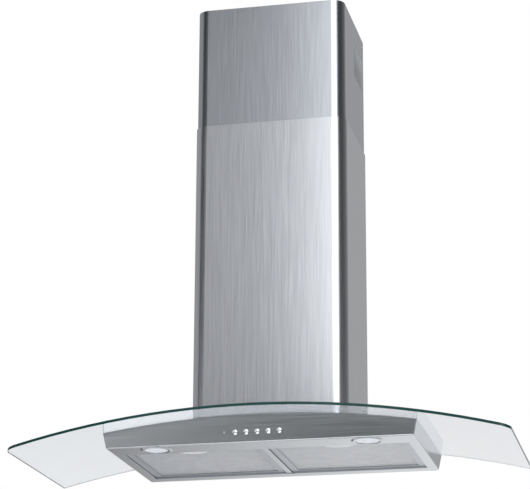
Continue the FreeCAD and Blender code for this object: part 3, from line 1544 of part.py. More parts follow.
def check_and_write(pieces):
    """Refuse failed or broken shapes, then write one file for each sub-part."""
    for thing in document.Objects:
        if "Invalid" in thing.State or "Error" in thing.State:
            raise RuntimeError(f"{thing.Label}: {thing.State}")
    for piece in pieces:
        if piece.Shape.isNull() or not piece.Shape.isValid():
            raise RuntimeError(f"{piece.Label} has a broken shape")
    os.makedirs("parts", exist_ok=True)
    for piece in pieces:
        piece.Shape.exportStep(f"parts/{piece.Label}.step")


fill_sheet()
check_and_write(make_all())
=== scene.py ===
"""Dressed model of a wall range hood with a curved glass canopy, in metres.

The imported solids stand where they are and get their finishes. The filter packs, lamps, buttons and
small round parts are replaced by finer surfaces worked out with numpy in the same places.
X runs to the right, Y into the wall and Z up, from the middle of the canopy's lower rear edge.
"""

from __future__ import annotations

import json
import logging
import math
from dataclasses import dataclass
from enum import Enum
from typing import Callable

import bmesh
import bpy
import numpy as np
from mathutils import Matrix, Vector

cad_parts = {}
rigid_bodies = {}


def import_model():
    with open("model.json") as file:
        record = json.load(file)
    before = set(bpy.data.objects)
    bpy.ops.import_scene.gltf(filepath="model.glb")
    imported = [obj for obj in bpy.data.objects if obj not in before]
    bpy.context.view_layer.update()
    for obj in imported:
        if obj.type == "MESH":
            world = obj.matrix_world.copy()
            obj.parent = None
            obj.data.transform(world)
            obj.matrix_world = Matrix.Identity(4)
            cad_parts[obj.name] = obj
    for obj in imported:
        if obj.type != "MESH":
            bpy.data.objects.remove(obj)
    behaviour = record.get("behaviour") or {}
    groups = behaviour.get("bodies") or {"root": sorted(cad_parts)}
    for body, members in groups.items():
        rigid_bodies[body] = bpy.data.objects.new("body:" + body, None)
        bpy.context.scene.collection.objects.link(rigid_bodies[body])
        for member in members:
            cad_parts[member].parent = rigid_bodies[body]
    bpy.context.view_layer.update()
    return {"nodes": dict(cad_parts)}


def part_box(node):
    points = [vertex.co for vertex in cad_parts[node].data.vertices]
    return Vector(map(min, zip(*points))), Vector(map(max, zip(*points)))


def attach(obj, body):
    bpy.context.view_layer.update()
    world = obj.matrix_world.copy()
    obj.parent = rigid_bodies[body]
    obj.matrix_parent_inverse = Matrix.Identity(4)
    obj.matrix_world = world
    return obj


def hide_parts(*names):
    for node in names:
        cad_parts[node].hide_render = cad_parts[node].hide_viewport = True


LOG = logging.getLogger("range_hood")
MM = 0.001

# Most of a noise factor lies between these two values.
NOISE_MIDDLE = {"From Min": 0.3, "From Max": 0.7}
GLASS_INDEX = 1.52
# In metres: points nearer than the first are one point, and edges under the second are dropped.
WELD = 1e-7
SLIVER = 1e-8

Tree = bpy.types.NodeTree
Socket = bpy.types.NodeSocket
Corners = tuple[np.ndarray, np.ndarray]
Shell = tuple[np.ndarray, np.ndarray]
Keep = Callable[[np.ndarray, np.ndarray], np.ndarray]


class Grain(Enum):
    """Way that a sheet was brushed."""

    UPRIGHT = "upright"
    LEVEL = "level"


class Side(Enum):
    """Half of the hood, as seen from the room."""

    LEFT = "left"
    RIGHT = "right"


# ---------------------------------------------------------------- materials


def linear(code: str) -> tuple[float, float, float, float]:
    """Turn an sRGB hex colour into linear light, channel by channel.

    Args:
        code: six hex digits after a hash.

    Returns:
        Linear red, green, blue and full opacity.
    """
    channels = np.array([int(code[i : i + 2], 16) for i in (1, 3, 5)]) / 255
    light = np.where(channels <= 0.04045, channels / 12.92, ((channels + 0.055) / 1.055) ** 2.4)
    return (*(float(value) for value in light), 1.0)


def add(tree: Tree, kind: str, inputs: dict | None = None, **settings: object) -> bpy.types.Node:
    """Add a node with its settings, its fixed inputs and its links.

    Args:
        tree: node tree to add to.
        kind: Blender's node type name.
        inputs: socket name or number to a value, or to the output socket that feeds it.
        settings: node properties.

    Returns:
        The new node.
    """
    node = tree.nodes.new(kind)
    for key, value in settings.items():
        setattr(node, key, value)
    for key, value in (inputs or {}).items():
        if isinstance(value, bpy.types.NodeSocket):
            tree.links.new(value, node.inputs[key])
        else:
            node.inputs[key].default_value = value
    return node


@dataclass(frozen=True)
class Finish:
    """A surface with a base colour, a roughness and a fine texture.

    The tone pair is the gain of the colour at the texture's low and high places, the gloss pair
    is what the roughness gains there, and the bump is its height and the share of it that shows.
    """

    name: str
    colour: str
    roughness: float
    metallic: float = 0.0
    tone: tuple[float, float] = (1.0, 1.0)
    gloss: tuple[float, float] = (0.0, 0.0)
    bump_mm: float = 0.0
    bump_share: float = 0.0

    def build(self) -> bpy.types.Material:
        """Make the material, once for each finish.

        Returns:
            The material.
        """
        if self.name in bpy.data.materials:
            return bpy.data.materials[self.name]
        material = bpy.data.materials.new(self.name)
        material.use_nodes = True
        tree = material.node_tree
        tree.nodes.clear()
        add(tree, "ShaderNodeOutputMaterial", {"Surface": self.surface(tree)})
        return material

    def surface(self, tree: Tree) -> Socket:
        """Add the nodes of the surface and return its shader output."""
        raise NotImplementedError

    def shader(self, tree: Tree, **inputs: object) -> Socket:
        """Add the Principled shader with this finish's plain values.

        Args:
            tree: node tree to add to.
            inputs: socket names, with underscores for spaces, to values or output sockets.

        Returns:
            The shader output.
        """
        values = {
            "Base Color": linear(self.colour),
            "Roughness": self.roughness,
            "Metallic": self.metallic,
        }
        values.update({key.replace("_", " "): value for key, value in inputs.items()})
        return add(tree, "ShaderNodeBsdfPrincipled", values).outputs["BSDF"]

    def toned(self, tree: Tree, factor: Socket) -> Socket:
        """Base colour, made darker or lighter by a 0 to 1 pattern.

        Args:
            tree: node tree to add to.
            factor: the pattern.

        Returns:
            The colour output.
        """
        base = np.array(linear(self.colour)[:3])
        ramp = add(tree, "ShaderNodeValToRGB", {0: factor})
        for element, gain in zip(ramp.color_ramp.elements, self.tone):
            element.color = (*(float(value) for value in np.clip(base * gain, 0, 1)), 1)
        return ramp.outputs["Color"]

    def textured(
        self, tree: Tree, relief: Socket, cloud: Socket | None = None, **inputs: object
    ) -> Socket:
        """Shader whose gloss and height follow one noise pattern, and its tone that or another.

        Args:
            tree: node tree to add to.
            relief: noise of the gloss and the height.
            cloud: noise of the tone, where it isn't the same.
            inputs: further inputs of the shader.

        Returns:
            The shader output.
        """
        tone = {"Value": relief if cloud is None else cloud, **NOISE_MIDDLE}
        factor = add(tree, "ShaderNodeMapRange", tone).outputs["Result"]
        low, high = (self.roughness + change for change in self.gloss)
        gloss = {"Value": relief, **NOISE_MIDDLE, "To Min": low, "To Max": high}
        height = {"Height": relief, "Distance": self.bump_mm * MM, "Strength": self.bump_share}
        return self.shader(
            tree,
            Base_Color=self.toned(tree, factor),
            Roughness=add(tree, "ShaderNodeMapRange", gloss).outputs["Result"],
            Normal=add(tree, "ShaderNodeBump", height).outputs["Normal"],
            **inputs,
        )


def noise(tree: Tree, cells: tuple[float, float, float], detail: float) -> Socket:
    """Noise on object coordinates, stretched to cells of a real size.

    Args:
        tree: node tree to add to.
        cells: size of a noise cell along X, Y and Z in millimetres.
        detail: octaves.

    Returns:
        The factor output.
    """
    place = add(tree, "ShaderNodeTexCoord")
    scale = tuple(1 / (cell * MM) for cell in cells)
    mapping = add(tree, "ShaderNodeMapping", {"Vector": place.outputs["Object"], "Scale": scale})
    inputs = {"Vector": mapping.outputs["Vector"], "Scale": 1.0, "Detail": detail}
    return add(tree, "ShaderNodeTexNoise", inputs).outputs["Fac"]


def tilt(tree: Tree) -> Socket:
    """Size of the Z part of a face's normal.

    Args:
        tree: node tree to add to.

    Returns:
        1 on level faces and 0 on upright ones.
    """
    normal = add(tree, "ShaderNodeNewGeometry").outputs["True Normal"]
    parts = add(tree, "ShaderNodeSeparateXYZ", {0: normal})
    return add(tree, "ShaderNodeMath", {0: parts.outputs["Z"]}, operation="ABSOLUTE").outputs[0]


@dataclass(frozen=True)
class BrushedSteel(Finish):
    """Stainless sheet, brushed with a belt: long fine scratches in one direction.

    Real scratches are about 0.1 mm apart. They are drawn 1.7 mm apart, as much as one pixel of
    the main view covers, so that they show as an even grain.
    """

    metallic: float = 1.0
    tone: tuple[float, float] = (0.93, 1.06)
    gloss: tuple[float, float] = (-0.02, 0.02)
    bump_mm: float = 0.006
    bump_share: float = 0.2
    grain: Grain = Grain.UPRIGHT
    across_mm: float = 1.7
    along_mm: float = 90.0
    level_from: float = 0.7

    def streaks(self, tree: Tree) -> Socket:
        """Scratch pattern: noise drawn out along the brushing, kept along it on level faces too.

        Args:
            tree: node tree to add to.

        Returns:
            The factor output.
        """
        if self.grain is Grain.UPRIGHT:
            return noise(tree, (self.across_mm, self.across_mm, self.along_mm), 3)
        upright_faces = noise(tree, (self.along_mm, self.along_mm, self.across_mm), 3)
        level_faces = noise(tree, (self.along_mm, self.across_mm, self.along_mm), 3)
        is_level = add(tree, "ShaderNodeMath", {0: tilt(tree), 1: self.level_from}, operation="GREATER_THAN")
        inputs = {"Factor": is_level.outputs[0], "A": upright_faces, "B": level_faces}
        return add(tree, "ShaderNodeMix", inputs).outputs["Result"]

    def surface(self, tree: Tree) -> Socket:
        """Streaks vary the gloss and the tone, and score the surface slightly."""
        return self.textured(tree, self.streaks(tree))


@dataclass(frozen=True)
class GalvanisedSteel(Finish):
    """Hot-dipped zinc on steel: dull metal with crystal spangles about 7 mm across."""

    roughness: float = 0.42
    metallic: float = 1.0
    tone: tuple[float, float] = (0.82, 1.06)
    gloss: tuple[float, float] = (-0.07, 0.1)
    spangle_mm: float = 7.0

    def surface(self, tree: Tree) -> Socket:
        """Each crystal has its own tone and gloss.

        Args:
            tree: node tree to add to.

        Returns:
            The shader output.
        """
        place = add(tree, "ShaderNodeTexCoord").outputs["Object"]
        crystals = {"Vector": place, "Scale": 1 / (self.spangle_mm * MM)}
        cells = add(tree, "ShaderNodeTexVoronoi", crystals)
        parts = add(tree, "ShaderNodeSeparateColor", {0: cells.outputs["Color"]})
        low, high = (self.roughness + change for change in self.gloss)
        gloss = add(tree, "ShaderNodeMapRange", {"Value": parts.outputs[1], "To Min": low, "To Max": high})
        tone = self.toned(tree, parts.outputs[0])
        return self.shader(tree, Base_Color=tone, Roughness=gloss.outputs["Result"])


@dataclass(frozen=True)
class SatinMetal(Finish):
    """Anodised, plated or polished metal with a faint cloudiness and fine scuffs.

    Real scuffs are a few tenths of a millimetre wide. They are drawn coarser, so that they show.
    """

    metallic: float = 1.0
    tone: tuple[float, float] = (0.95, 1.04)
    gloss: tuple[float, float] = (-0.04, 0.05)
    bump_mm: float = 0.01
    bump_share: float = 0.15
    cloud_mm: float = 18.0
    scuff_mm: float = 1.2

    def surface(self, tree: Tree) -> Socket:
        """Clouds vary the tone, scuffs the gloss and the normal.

        Args:
            tree: node tree to add to.

        Returns:
            The shader output.
        """
        cloud = noise(tree, (self.cloud_mm,) * 3, 2)
        scuff = noise(tree, (self.scuff_mm,) * 3, 3)
        return self.textured(tree, scuff, cloud)


@dataclass(frozen=True)
class Moulded(Finish):
    """Moulded plastic, pressed rubber or stoved paint: a fine texture over the whole surface.

    A real mould's texture has cells of about 0.2 mm. They are drawn 0.8 mm wide, so that they show.
    """

    tone: tuple[float, float] = (0.9, 1.1)
    gloss: tuple[float, float] = (-0.05, 0.06)
    bump_mm: float = 0.03
    bump_share: float = 0.5
    grain_mm: float = 0.8

    def surface(self, tree: Tree) -> Socket:
        """The texture scatters the gloss and dents the surface."""
        return self.textured(tree, noise(tree, (self.grain_mm,) * 3, 2))


@dataclass(frozen=True)
class FloatGlass(Finish):
    """Toughened float glass: nearly colourless through its faces, dark green through its edge.

    Iron in the glass gives the edge its colour, because light runs along the sheet to reach it.
    """

    roughness: float = 0.0
    edge_colour: str = "#1a514d"
    edge_roughness: float = 0.12
    edge_clearness: float = 0.25
    edge_below: float = 0.75
    shadow_colour: str = "#eef4f2"

    def surface(self, tree: Tree) -> Socket:
        """Faces that lie level are clear, upright ones are the ground edge, and light falls through.

        Args:
            tree: node tree to add to.

        Returns:
            The shader output.
        """
        clear = self.shader(tree, Transmission_Weight=1.0, IOR=GLASS_INDEX)
        edge = self.shader(
            tree,
            Base_Color=linear(self.edge_colour),
            Roughness=self.edge_roughness,
            Transmission_Weight=self.edge_clearness,
            IOR=GLASS_INDEX,
        )
        is_edge = add(tree, "ShaderNodeMath", {0: tilt(tree), 1: self.edge_below}, operation="LESS_THAN")
        glass = add(tree, "ShaderNodeMixShader", {0: is_edge.outputs[0], 1: clear, 2: edge}).outputs[0]
        tint = {"Color": linear(self.shadow_colour)}
        see_through = add(tree, "ShaderNodeBsdfTransparent", tint).outputs[0]
        shadow = add(tree, "ShaderNodeLightPath").outputs["Is Shadow Ray"]
        return add(tree, "ShaderNodeMixShader", {0: shadow, 1: glass, 2: see_through}).outputs[0]


@dataclass(frozen=True)
class LampGlass(Finish):
    """Etched glass or clear plastic over a lamp, which glows where the lamp is alight.

    The etching is drawn 0.6 mm wide, coarser than a real one, so that it breaks up the highlights.
    """

    gloss: tuple[float, float] = (-0.05, 0.1)
    bump_mm: float = 0.02
    bump_share: float = 0.3
    clearness: float = 0.35
    glow: float = 0.0
    etch_mm: float = 0.6

    def surface(self, tree: Tree) -> Socket:
        """The etching scatters the light evenly."""
        return self.textured(
            tree,
            noise(tree, (self.etch_mm,) * 3, 2),
            Transmission_Weight=self.clearness,
            Emission_Color=linear(self.colour),
            Emission_Strength=self.glow,
        )


@dataclass(frozen=True)
class FloorPaint(Finish):
    """Matt pale floor paint of the studio, rolled on, with a faint orange peel."""

    tone: tuple[float, float] = (0.98, 1.01)
    bump_mm: float = 0.05
    bump_share: float = 0.3
    glow: float = 0.5
    glow_to_the_eye: float = 0.2
    peel_mm: float = 3.0

    def surface(self, tree: Tree) -> Socket:
        """Lit as paint, with a glow that only the camera, metal and glass see.

        Args:
            tree: node tree to add to.

        Returns:
            The shader output.
        """
        ray = add(tree, "ShaderNodeLightPath")
        mirrored = {0: ray.outputs["Is Glossy Ray"], 1: ray.outputs["Is Transmission Ray"]}
        indirect = add(tree, "ShaderNodeMath", mirrored, operation="MAXIMUM").outputs[0]
        in_metal = add(tree, "ShaderNodeMath", {0: indirect, 1: self.glow}, operation="MULTIPLY")
        straight = {0: ray.outputs["Is Camera Ray"], 1: self.glow_to_the_eye, 2: in_metal.outputs[0]}
        strength = add(tree, "ShaderNodeMath", straight, operation="MULTIPLY_ADD")
        return self.textured(
            tree,
            noise(tree, (self.peel_mm,) * 3, 2),
            Emission_Color=linear(self.colour),
            Emission_Strength=strength.outputs[0],
        )


# Brushed stainless sheet: whatever stands near it shows as soft bands, with a fine grain over them.
FRONT_STEEL = BrushedSteel("steel_304_brushed_level", "#c6cace", roughness=0.24, grain=Grain.LEVEL)
CHIMNEY_STEEL = BrushedSteel("steel_304_brushed_upright", "#c7cacf", roughness=0.25)
# Painted shade: the same sheet made darker, for the dimmer light on the upper section further back.
UPPER_STEEL_PAINTED_SHADE = BrushedSteel("steel_304_brushed_upper_painted_shade", "#b3b7bd", roughness=0.25)
# Paler, duller sheet: it stays light under the glass, with no clear reflections.
COVER_STEEL = BrushedSteel("steel_430_satin_level", "#d4d8dd", roughness=0.34, grain=Grain.LEVEL)
# Hot-dipped zinc: flat grey, broken up into paler and darker crystals.
ZINC_SHEET = GalvanisedSteel("zinc_dipped_sheet", "#b4b9be")
# Bright zinc plating: a slightly yellow shine on screws and spindles.
ZINC_PLATE = SatinMetal("zinc_plated_steel", "#b3b2a8", roughness=0.32)
# Bare rolled aluminium: light grey with a wide soft sheen.
FILTER_FRAME = SatinMetal("aluminium_rolled_frame", "#c0c4ca", roughness=0.36)
# Thin bare foil: nearly white, with a glint on every strand and fold.
FILTER_FOIL = SatinMetal("aluminium_expanded_foil", "#f6f8fc", roughness=0.34)
# Bright pressed steel: white where it tips towards the light.
PRESSED_CUP = SatinMetal("steel_pressed_bright", "#f4f5f7", roughness=0.22, cloud_mm=30.0)
# Turned steel ring: grey, with a narrow bright line round its edge.
TURNED_BEZEL = SatinMetal("steel_turned_bezel", "#bfc3c8", roughness=0.18, cloud_mm=30.0)
# Anodised sheet: an even pale grey with no grain.
ANODISED_SHEET = SatinMetal("aluminium_anodised_sheet", "#c4c7ca", roughness=0.38)
# Chrome plating: close to a mirror, white against the darker panel.
CHROME = SatinMetal("chrome_plate_bright", "#f1f2f3", roughness=0.2, cloud_mm=30.0)
# Clear float glass: a slight grey veil over what is behind it, and a dark green line at the edge.
CLEAR_GLASS = FloatGlass("float_glass_toughened", "#e2e5e9")
# Etched glass with the lamp on: a milky white disc.
LAMP_GLASS = LampGlass("lamp_glass_etched", "#dfe2e6", roughness=0.22, glow=0.3)
# Clear plastic with its light off: a dim grey dot.
INDICATOR_LENS = LampGlass("polycarbonate_indicator_lens", "#c9ccd0", roughness=0.3)
# Extruded rubber: black with no shine.
RUBBER = Moulded("rubber_epdm_extruded", "#1c1c1d", roughness=0.7)
# Nylon in its own colour: off-white and waxy.
NYLON = Moulded("nylon_natural_moulded", "#dedcd2", roughness=0.5)
# Moulded ABS: black or light grey with a soft sheen.
BLACK_ABS = Moulded("abs_black_moulded", "#1d1e20", roughness=0.48)
GREY_ABS = Moulded("abs_grey_moulded", "#c6c7c6", roughness=0.42)
# Stove enamel: dark grey with a duller shine than plastic of its colour, slightly rippled.
MOTOR_PAINT = Moulded("motor_stove_enamel", "#4b4e52", roughness=0.38, grain_mm=1.4)
# Matt floor paint: an even pale grey that takes a soft shadow.
STUDIO_FLOOR = FloorPaint("floor_paint_pale", "#e6e7e9", roughness=0.8)

NODE_FINISH: dict[str, Finish] = {
    "canopy_shell": FRONT_STEEL,
    "filter_divider": FRONT_STEEL,
    "lower_chimney": CHIMNEY_STEEL,
    # The upper chimney takes the steel with painted shade, a darker copy of the chimney's sheet.
    "upper_chimney": UPPER_STEEL_PAINTED_SHADE,
    "top_cover": COVER_STEEL,
    "back_plate": ZINC_SHEET,
    "riser": ZINC_SHEET,
    "blower_casing": ZINC_SHEET,
    "chimney_bracket": ZINC_SHEET,
    "motor_bracket": ZINC_SHEET,
    "chimney_screws": ZINC_PLATE,
    "riser_bolts": ZINC_PLATE,
    "riser_nuts": ZINC_PLATE,
    "hub_nut": ZINC_PLATE,
    "motor_shaft": ZINC_PLATE,
    "flap_spindle": ZINC_PLATE,
    "capacitor_clip": ZINC_PLATE,
    "flap_front": ANODISED_SHEET,
    "flap_rear": ANODISED_SHEET,
    "glass_canopy": CLEAR_GLASS,
    "glass_gasket": RUBBER,
    "riser_gasket": RUBBER,
    "chimney_guides": NYLON,
    "switch_block": BLACK_ABS,
    "terminal_box": BLACK_ABS,
    "lamp_transformer": BLACK_ABS,
    "outlet_collar": BLACK_ABS,
    "scroll_housing": BLACK_ABS,
    "scroll_cover": BLACK_ABS,
    "impeller": BLACK_ABS,
    "motor": MOTOR_PAINT,
    "capacitor": GREY_ABS,
}
SIDE_FINISH: dict[str, Finish] = {
    "filter_frame": FILTER_FRAME,
    "lamp_can": ANODISED_SHEET,
    "filter_latch": BLACK_ABS,
}


# ---------------------------------------------------------------- surfaces


def finish_mesh(
    name: str, points: np.ndarray, faces: np.ndarray, sharp_angle: float = 35.0, close: bool = True
) -> bpy.types.Object:
    """Put points and faces into a mesh object at the origin, welded and facing outwards.

    Args:
        name: object name.
        points: array of any shape that ends in 3, in metres.
        faces: array of corner numbers, one face a row.
        sharp_angle: faces that meet at more than this, in degrees, keep a hard edge.
        close: weld what lies together, as at poles and seams.

    Returns:
        The new object.
    """
    mesh = bpy.data.meshes.new(name)
    used, corners = np.unique(faces, return_inverse=True)
    mesh.from_pydata(points.reshape(-1, 3)[used], [], corners.reshape(faces.shape).tolist())
    if close:
        work = bmesh.new()
        work.from_mesh(mesh)
        bmesh.ops.remove_doubles(work, verts=work.verts, dist=WELD)
        bmesh.ops.dissolve_degenerate(work, edges=work.edges, dist=SLIVER)
        bmesh.ops.recalc_face_normals(work, faces=work.faces)
        work.to_mesh(mesh)
        work.free()
    mesh.polygons.foreach_set("use_smooth", np.ones(len(mesh.polygons), dtype=bool))
    mesh.set_sharp_from_angle(angle=math.radians(sharp_angle))
    piece = bpy.data.objects.new(name, mesh)
    bpy.context.scene.collection.objects.link(piece)
    return piece


def grid_faces(rows: int, columns: int, wrap_rows: bool, wrap_columns: bool) -> np.ndarray:
    """Quads of a grid of points numbered row by row.

    Args:
        rows: number of rows.
        columns: points in a row.
        wrap_rows: join the last row to the first.
        wrap_columns: join the last column to the first.

    Returns:
        Array of four corner numbers a face.
    """
    row, column = np.meshgrid(
        np.arange(rows if wrap_rows else rows - 1),
        np.arange(columns if wrap_columns else columns - 1),
        indexing="ij",
    )
    next_row, next_column = (row + 1) % rows, (column + 1) % columns
    corners = (
        row * columns + column,
        row * columns + next_column,
        next_row * columns + next_column,
        next_row * columns + column,
    )
    return np.stack(corners, axis=-1).reshape(-1, 4)


def turned(profile: np.ndarray, segments: int, closed: bool = False) -> Shell:
    """Turn a profile about the Z axis: x = r cos a, y = r sin a, z = z.

    Args:
        profile: rows of radius and height.
        segments: steps round the axis.
        closed: the profile is a loop clear of the axis.

    Returns:
        Points and faces.
    """
    angle = np.linspace(0, 2 * np.pi, segments, endpoint=False)[:, None]
    radius, height = profile[:, 0][None, :], profile[:, 1][None, :]
    heights = np.broadcast_to(height, (segments, len(profile)))
    points = np.stack((radius * np.cos(angle), radius * np.sin(angle), heights), axis=-1)
    return points, grid_faces(segments, len(profile), True, closed)


def rounded(corners: list[tuple[float, float]], radius: float, steps: int = 4) -> np.ndarray:
    """Round the corners of an open profile with short parabolic blends.

    Each inner corner becomes the curve (1-t)^2 A + 2t(1-t) C + t^2 B, where C is the corner and A
    and B lie on its sides at the radius, or half way along a side shorter than twice that.

    Args:
        corners: radius and height pairs, no two alike in a row.
        radius: length of side that each blend takes.
        steps: points in each blend.

    Returns:
        The rounded profile.
    """
    path = np.array(corners, dtype=float)
    before, corner, after = path[:-2], path[1:-1], path[2:]
    parts = [path[:1]]
    t = np.linspace(0, 1, steps + 1)[:, None]
    for start, middle, end in zip(before, corner, after):
        back, ahead = start - middle, end - middle
        reach_back = min(radius / np.linalg.norm(back), 0.5)
        reach_ahead = min(radius / np.linalg.norm(ahead), 0.5)
        first, last = middle + back * reach_back, middle + ahead * reach_ahead
        parts.append((1 - t) ** 2 * first + 2 * t * (1 - t) * middle + t**2 * last)
    parts.append(path[-1:])
    return np.concatenate(parts)


def expanded_sheet(
    low: np.ndarray, high: np.ndarray, pitch: tuple[float, float], strand: tuple[float, float], keep: Keep
) -> Shell:
    """Expanded metal: wavy strands side by side, whose crests meet and leave diamonds.

    Strand i runs along X at y = i s / 2 + (s / 4) (-1)^i cos(2 pi x / l), and rises and falls by a
    third of its thickness as z = (-1)^i sin(2 pi x / l), with a rectangular section.

    Args:
        low: lowest corner of the sheet.
        high: highest corner; its Z is ignored.
        pitch: diamond length l and width s.
        strand: strand width and thickness.
        keep: tells from x and y which pieces of strand are there.

    Returns:
        Points and faces, capped where strands end.
    """
    long_way, short_way = pitch
    width, thick = strand
    pieces_a_wave = 6
    count = int((high[1] - low[1] - width - short_way / 2) / (short_way / 2)) + 1
    samples = int((high[0] - low[0]) / long_way * pieces_a_wave) + 1
    index = np.arange(count)[:, None]
    x = np.linspace(low[0], high[0], samples)[None, :]
    sign = np.where(index % 2 == 0, 1.0, -1.0)
    phase = 2 * np.pi * (x - low[0]) / long_way
    first = low[1] + width / 2 + short_way / 4
    y = first + index * short_way / 2 + sign * short_way / 4 * np.cos(phase)
    z = low[2] + thick / 2 + sign * thick / 3 * np.sin(phase) + np.zeros_like(y)
    x = np.broadcast_to(x, y.shape)
    across = np.array([-1, 1, 1, -1]) * width / 2
    rise = np.array([-1, -1, 1, 1]) * thick / 2
    along = np.broadcast_to(x[..., None], (*y.shape, 4))
    points = np.stack((along, y[..., None] + across, z[..., None] + rise), axis=-1)

    # Each kept piece has four sides, and a cap where its strand begins or ends.
    there = keep((x[:, 1:] + x[:, :-1]) / 2, (y[:, 1:] + y[:, :-1]) / 2)
    starts_at = (index * samples + np.arange(samples - 1)[None, :]) * 4
    base = starts_at[there][:, None]
    corner = np.arange(4)
    turn = (corner + 1) % 4
    sides = (base + corner, base + turn, base + 4 + turn, base + 4 + corner)
    nothing = np.zeros((count, 1), dtype=bool)
    begins = there & ~np.concatenate((nothing, there[:, :-1]), axis=1)
    ends = there & ~np.concatenate((there[:, 1:], nothing), axis=1)
    left_caps = starts_at[begins][:, None] + np.roll(corner[::-1], 1)
    right_caps = starts_at[ends][:, None] + 4 + corner
    return points, np.concatenate((np.stack(sides, axis=-1).reshape(-1, 4), left_caps, right_caps))


def thickened(sheet: np.ndarray, there: np.ndarray, thickness: float) -> Shell:
    """Close a grid of points into a thin plate, with walls round every open edge.

    Args:
        sheet: grid of points of the lower side.
        there: true or false for each cell of the grid.
        thickness: height of the upper side above the lower.

    Returns:
        Points and faces of the closed plate.
    """
    rows, columns = sheet.shape[:2]
    flat = sheet.reshape(-1, 3)
    upper = flat + np.array((0, 0, thickness))
    faces = grid_faces(rows, columns, False, False)[there.ravel()]
    edges = np.stack((faces, np.roll(faces, -1, axis=1)), axis=-1).reshape(-1, 2)
    _, first, uses = np.unique(np.sort(edges, axis=1), axis=0, return_index=True, return_counts=True)
    rim = edges[first[uses == 1]]  # an edge that only one cell has is an open one
    count = len(flat)
    walls = np.stack((rim[:, 0], rim[:, 1], rim[:, 1] + count, rim[:, 0] + count), axis=-1)
    return np.concatenate((flat, upper)), np.concatenate((faces[:, ::-1], faces + count, walls))


def cell_middles(sheet: np.ndarray) -> np.ndarray:
    """Middles of the cells of a grid of points."""
    return (sheet[:-1, :-1] + sheet[1:, :-1] + sheet[:-1, 1:] + sheet[1:, 1:]) / 4


def joined(parts: list[Shell]) -> Shell:
    """Put several sets of points and faces together.

    Args:
        parts: pairs of points and faces.

    Returns:
        One pair.
    """
    points, faces, start = [], [], 0
    for part_points, part_faces in parts:
        flat = part_points.reshape(-1, 3)
        points.append(flat)
        faces.append(part_faces + start)
        start += len(flat)
    return np.concatenate(points), np.concatenate(faces)


def box_of(node: str) -> Corners:
    """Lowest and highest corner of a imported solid."""
    low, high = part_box(node)
    return np.array(low), np.array(high)


def bow_radius(half: float, depth: float) -> float:
    """Radius of the arc of a chord: (h^2 + d^2) / 2d.

    Args:
        half: half the chord.
        depth: distance from the chord to the top of the arc.

    Returns:
        The radius.
    """
    return (half**2 + depth**2) / (2 * depth)


def dress(piece: bpy.types.Object, body: str, slot: str, finish: Finish, node: str) -> None:
    """Give a piece its finish and body, and hide the solid that it stands for.

    Args:
        piece: the new piece.
        body: the body that it moves with.
        slot: the record's material slot; not used.
        finish: its finish.
        node: solid that it replaces.
    """
    piece.data.materials.append(finish.build())
    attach(piece, body)
    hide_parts(node)
    LOG.info("%s rides on %s, %d faces", piece.name, body, len(piece.data.polygons))


# ---------------------------------------------------------------- sub-assemblies


@dataclass
class GreaseFilter:
    """One grease filter: sheets of expanded aluminium either side of crumpled foil."""

    side: Side
    diamond: tuple[float, float] = (9.0 * MM, 5.0 * MM)
    strand: tuple[float, float] = (1.8 * MM, 0.35 * MM)
    upper_coarseness: float = 2.0
    upper_drop: float = 0.595 * MM
    cup_clearance: float = 1.2 * MM
    latch_clearance: float = 2.2 * MM
    latch_travel: float = 6.0 * MM
    foil_level: float = 2.1 * MM
    foil_rise: float = 0.6 * MM
    foil_fold: float = 8.0 * MM
    foil_step: float = 2.6 * MM
    foil_thick: float = 0.1 * MM

    def build(self) -> None:
        """Make the mesh pack in place of its two plain sheets."""
        node = f"filter_mesh_{self.side.value}"
        low, high = box_of(node)
        keep = self.opening()
        lower = expanded_sheet(low, high, self.diamond, self.strand, keep)
        upper_low = np.array((low[0], low[1], high[2] - self.upper_drop))
        coarse = tuple(size * self.upper_coarseness for size in self.diamond)
        upper = expanded_sheet(upper_low, high, coarse, self.strand, keep)
        points, faces = joined([lower, self.foil(low, high, keep), upper])
        piece = finish_mesh(f"filter_pack_{self.side.value}", points, faces, close=False)
        dress(piece, f"filter_{self.side.value}", "aluminium", FILTER_FOIL, node)

    def opening(self) -> Keep:
        """Where the pack is cut away for the finger cup and the latch.

        Returns:
            Function of x and y that is true outside the circle of the cup and clear of the slide.
        """
        cup_low, cup_high = box_of(f"filter_handle_{self.side.value}")
        latch_low, latch_high = box_of(f"filter_latch_{self.side.value}")
        middle = (cup_low[0] + cup_high[0]) / 2
        radius = bow_radius((cup_high[0] - cup_low[0]) / 2, cup_high[1] - cup_low[1])
        centre = cup_high[1] - radius
        latch_half = (latch_high[0] - latch_low[0]) / 2 + self.latch_clearance
        latch_rear = latch_high[1] + self.latch_travel + self.latch_clearance

        def keep(x: np.ndarray, y: np.ndarray) -> np.ndarray:
            """True where there is mesh or foil."""
            clear_of_cup = (x - middle) ** 2 + (y - centre) ** 2 > (radius + self.cup_clearance) ** 2
            return clear_of_cup & ((np.abs(x - middle) > latch_half) | (y > latch_rear))

        return keep

    def foil(self, low: np.ndarray, high: np.ndarray, keep: Keep) -> Shell:
        """Crumpled foil between the sheets: z is a sum of three crossing sine waves.

        Args:
            low: lowest corner of the pack.
            high: highest corner of the pack.
            keep: tells from x and y where there is foil.

        Returns:
            Points and faces of a closed thin sheet.
        """
        columns = int((high[0] - low[0]) / self.foil_step) + 1
        rows = int((high[1] - low[1]) / self.foil_step) + 1
        y, x = np.meshgrid(
            np.linspace(low[1], high[1], rows), np.linspace(low[0], high[0], columns), indexing="ij"
        )
        k = 2 * np.pi / self.foil_fold
        wave = np.sin(k * x) + np.sin(k * (0.5 * x + 0.87 * y)) + np.sin(k * (0.5 * x - 0.87 * y))
        sheet = np.stack((x, y, low[2] + self.foil_level + wave / 3 * self.foil_rise), axis=-1)
        middles = cell_middles(sheet)
        return thickened(sheet, keep(middles[..., 0], middles[..., 1]), self.foil_thick)


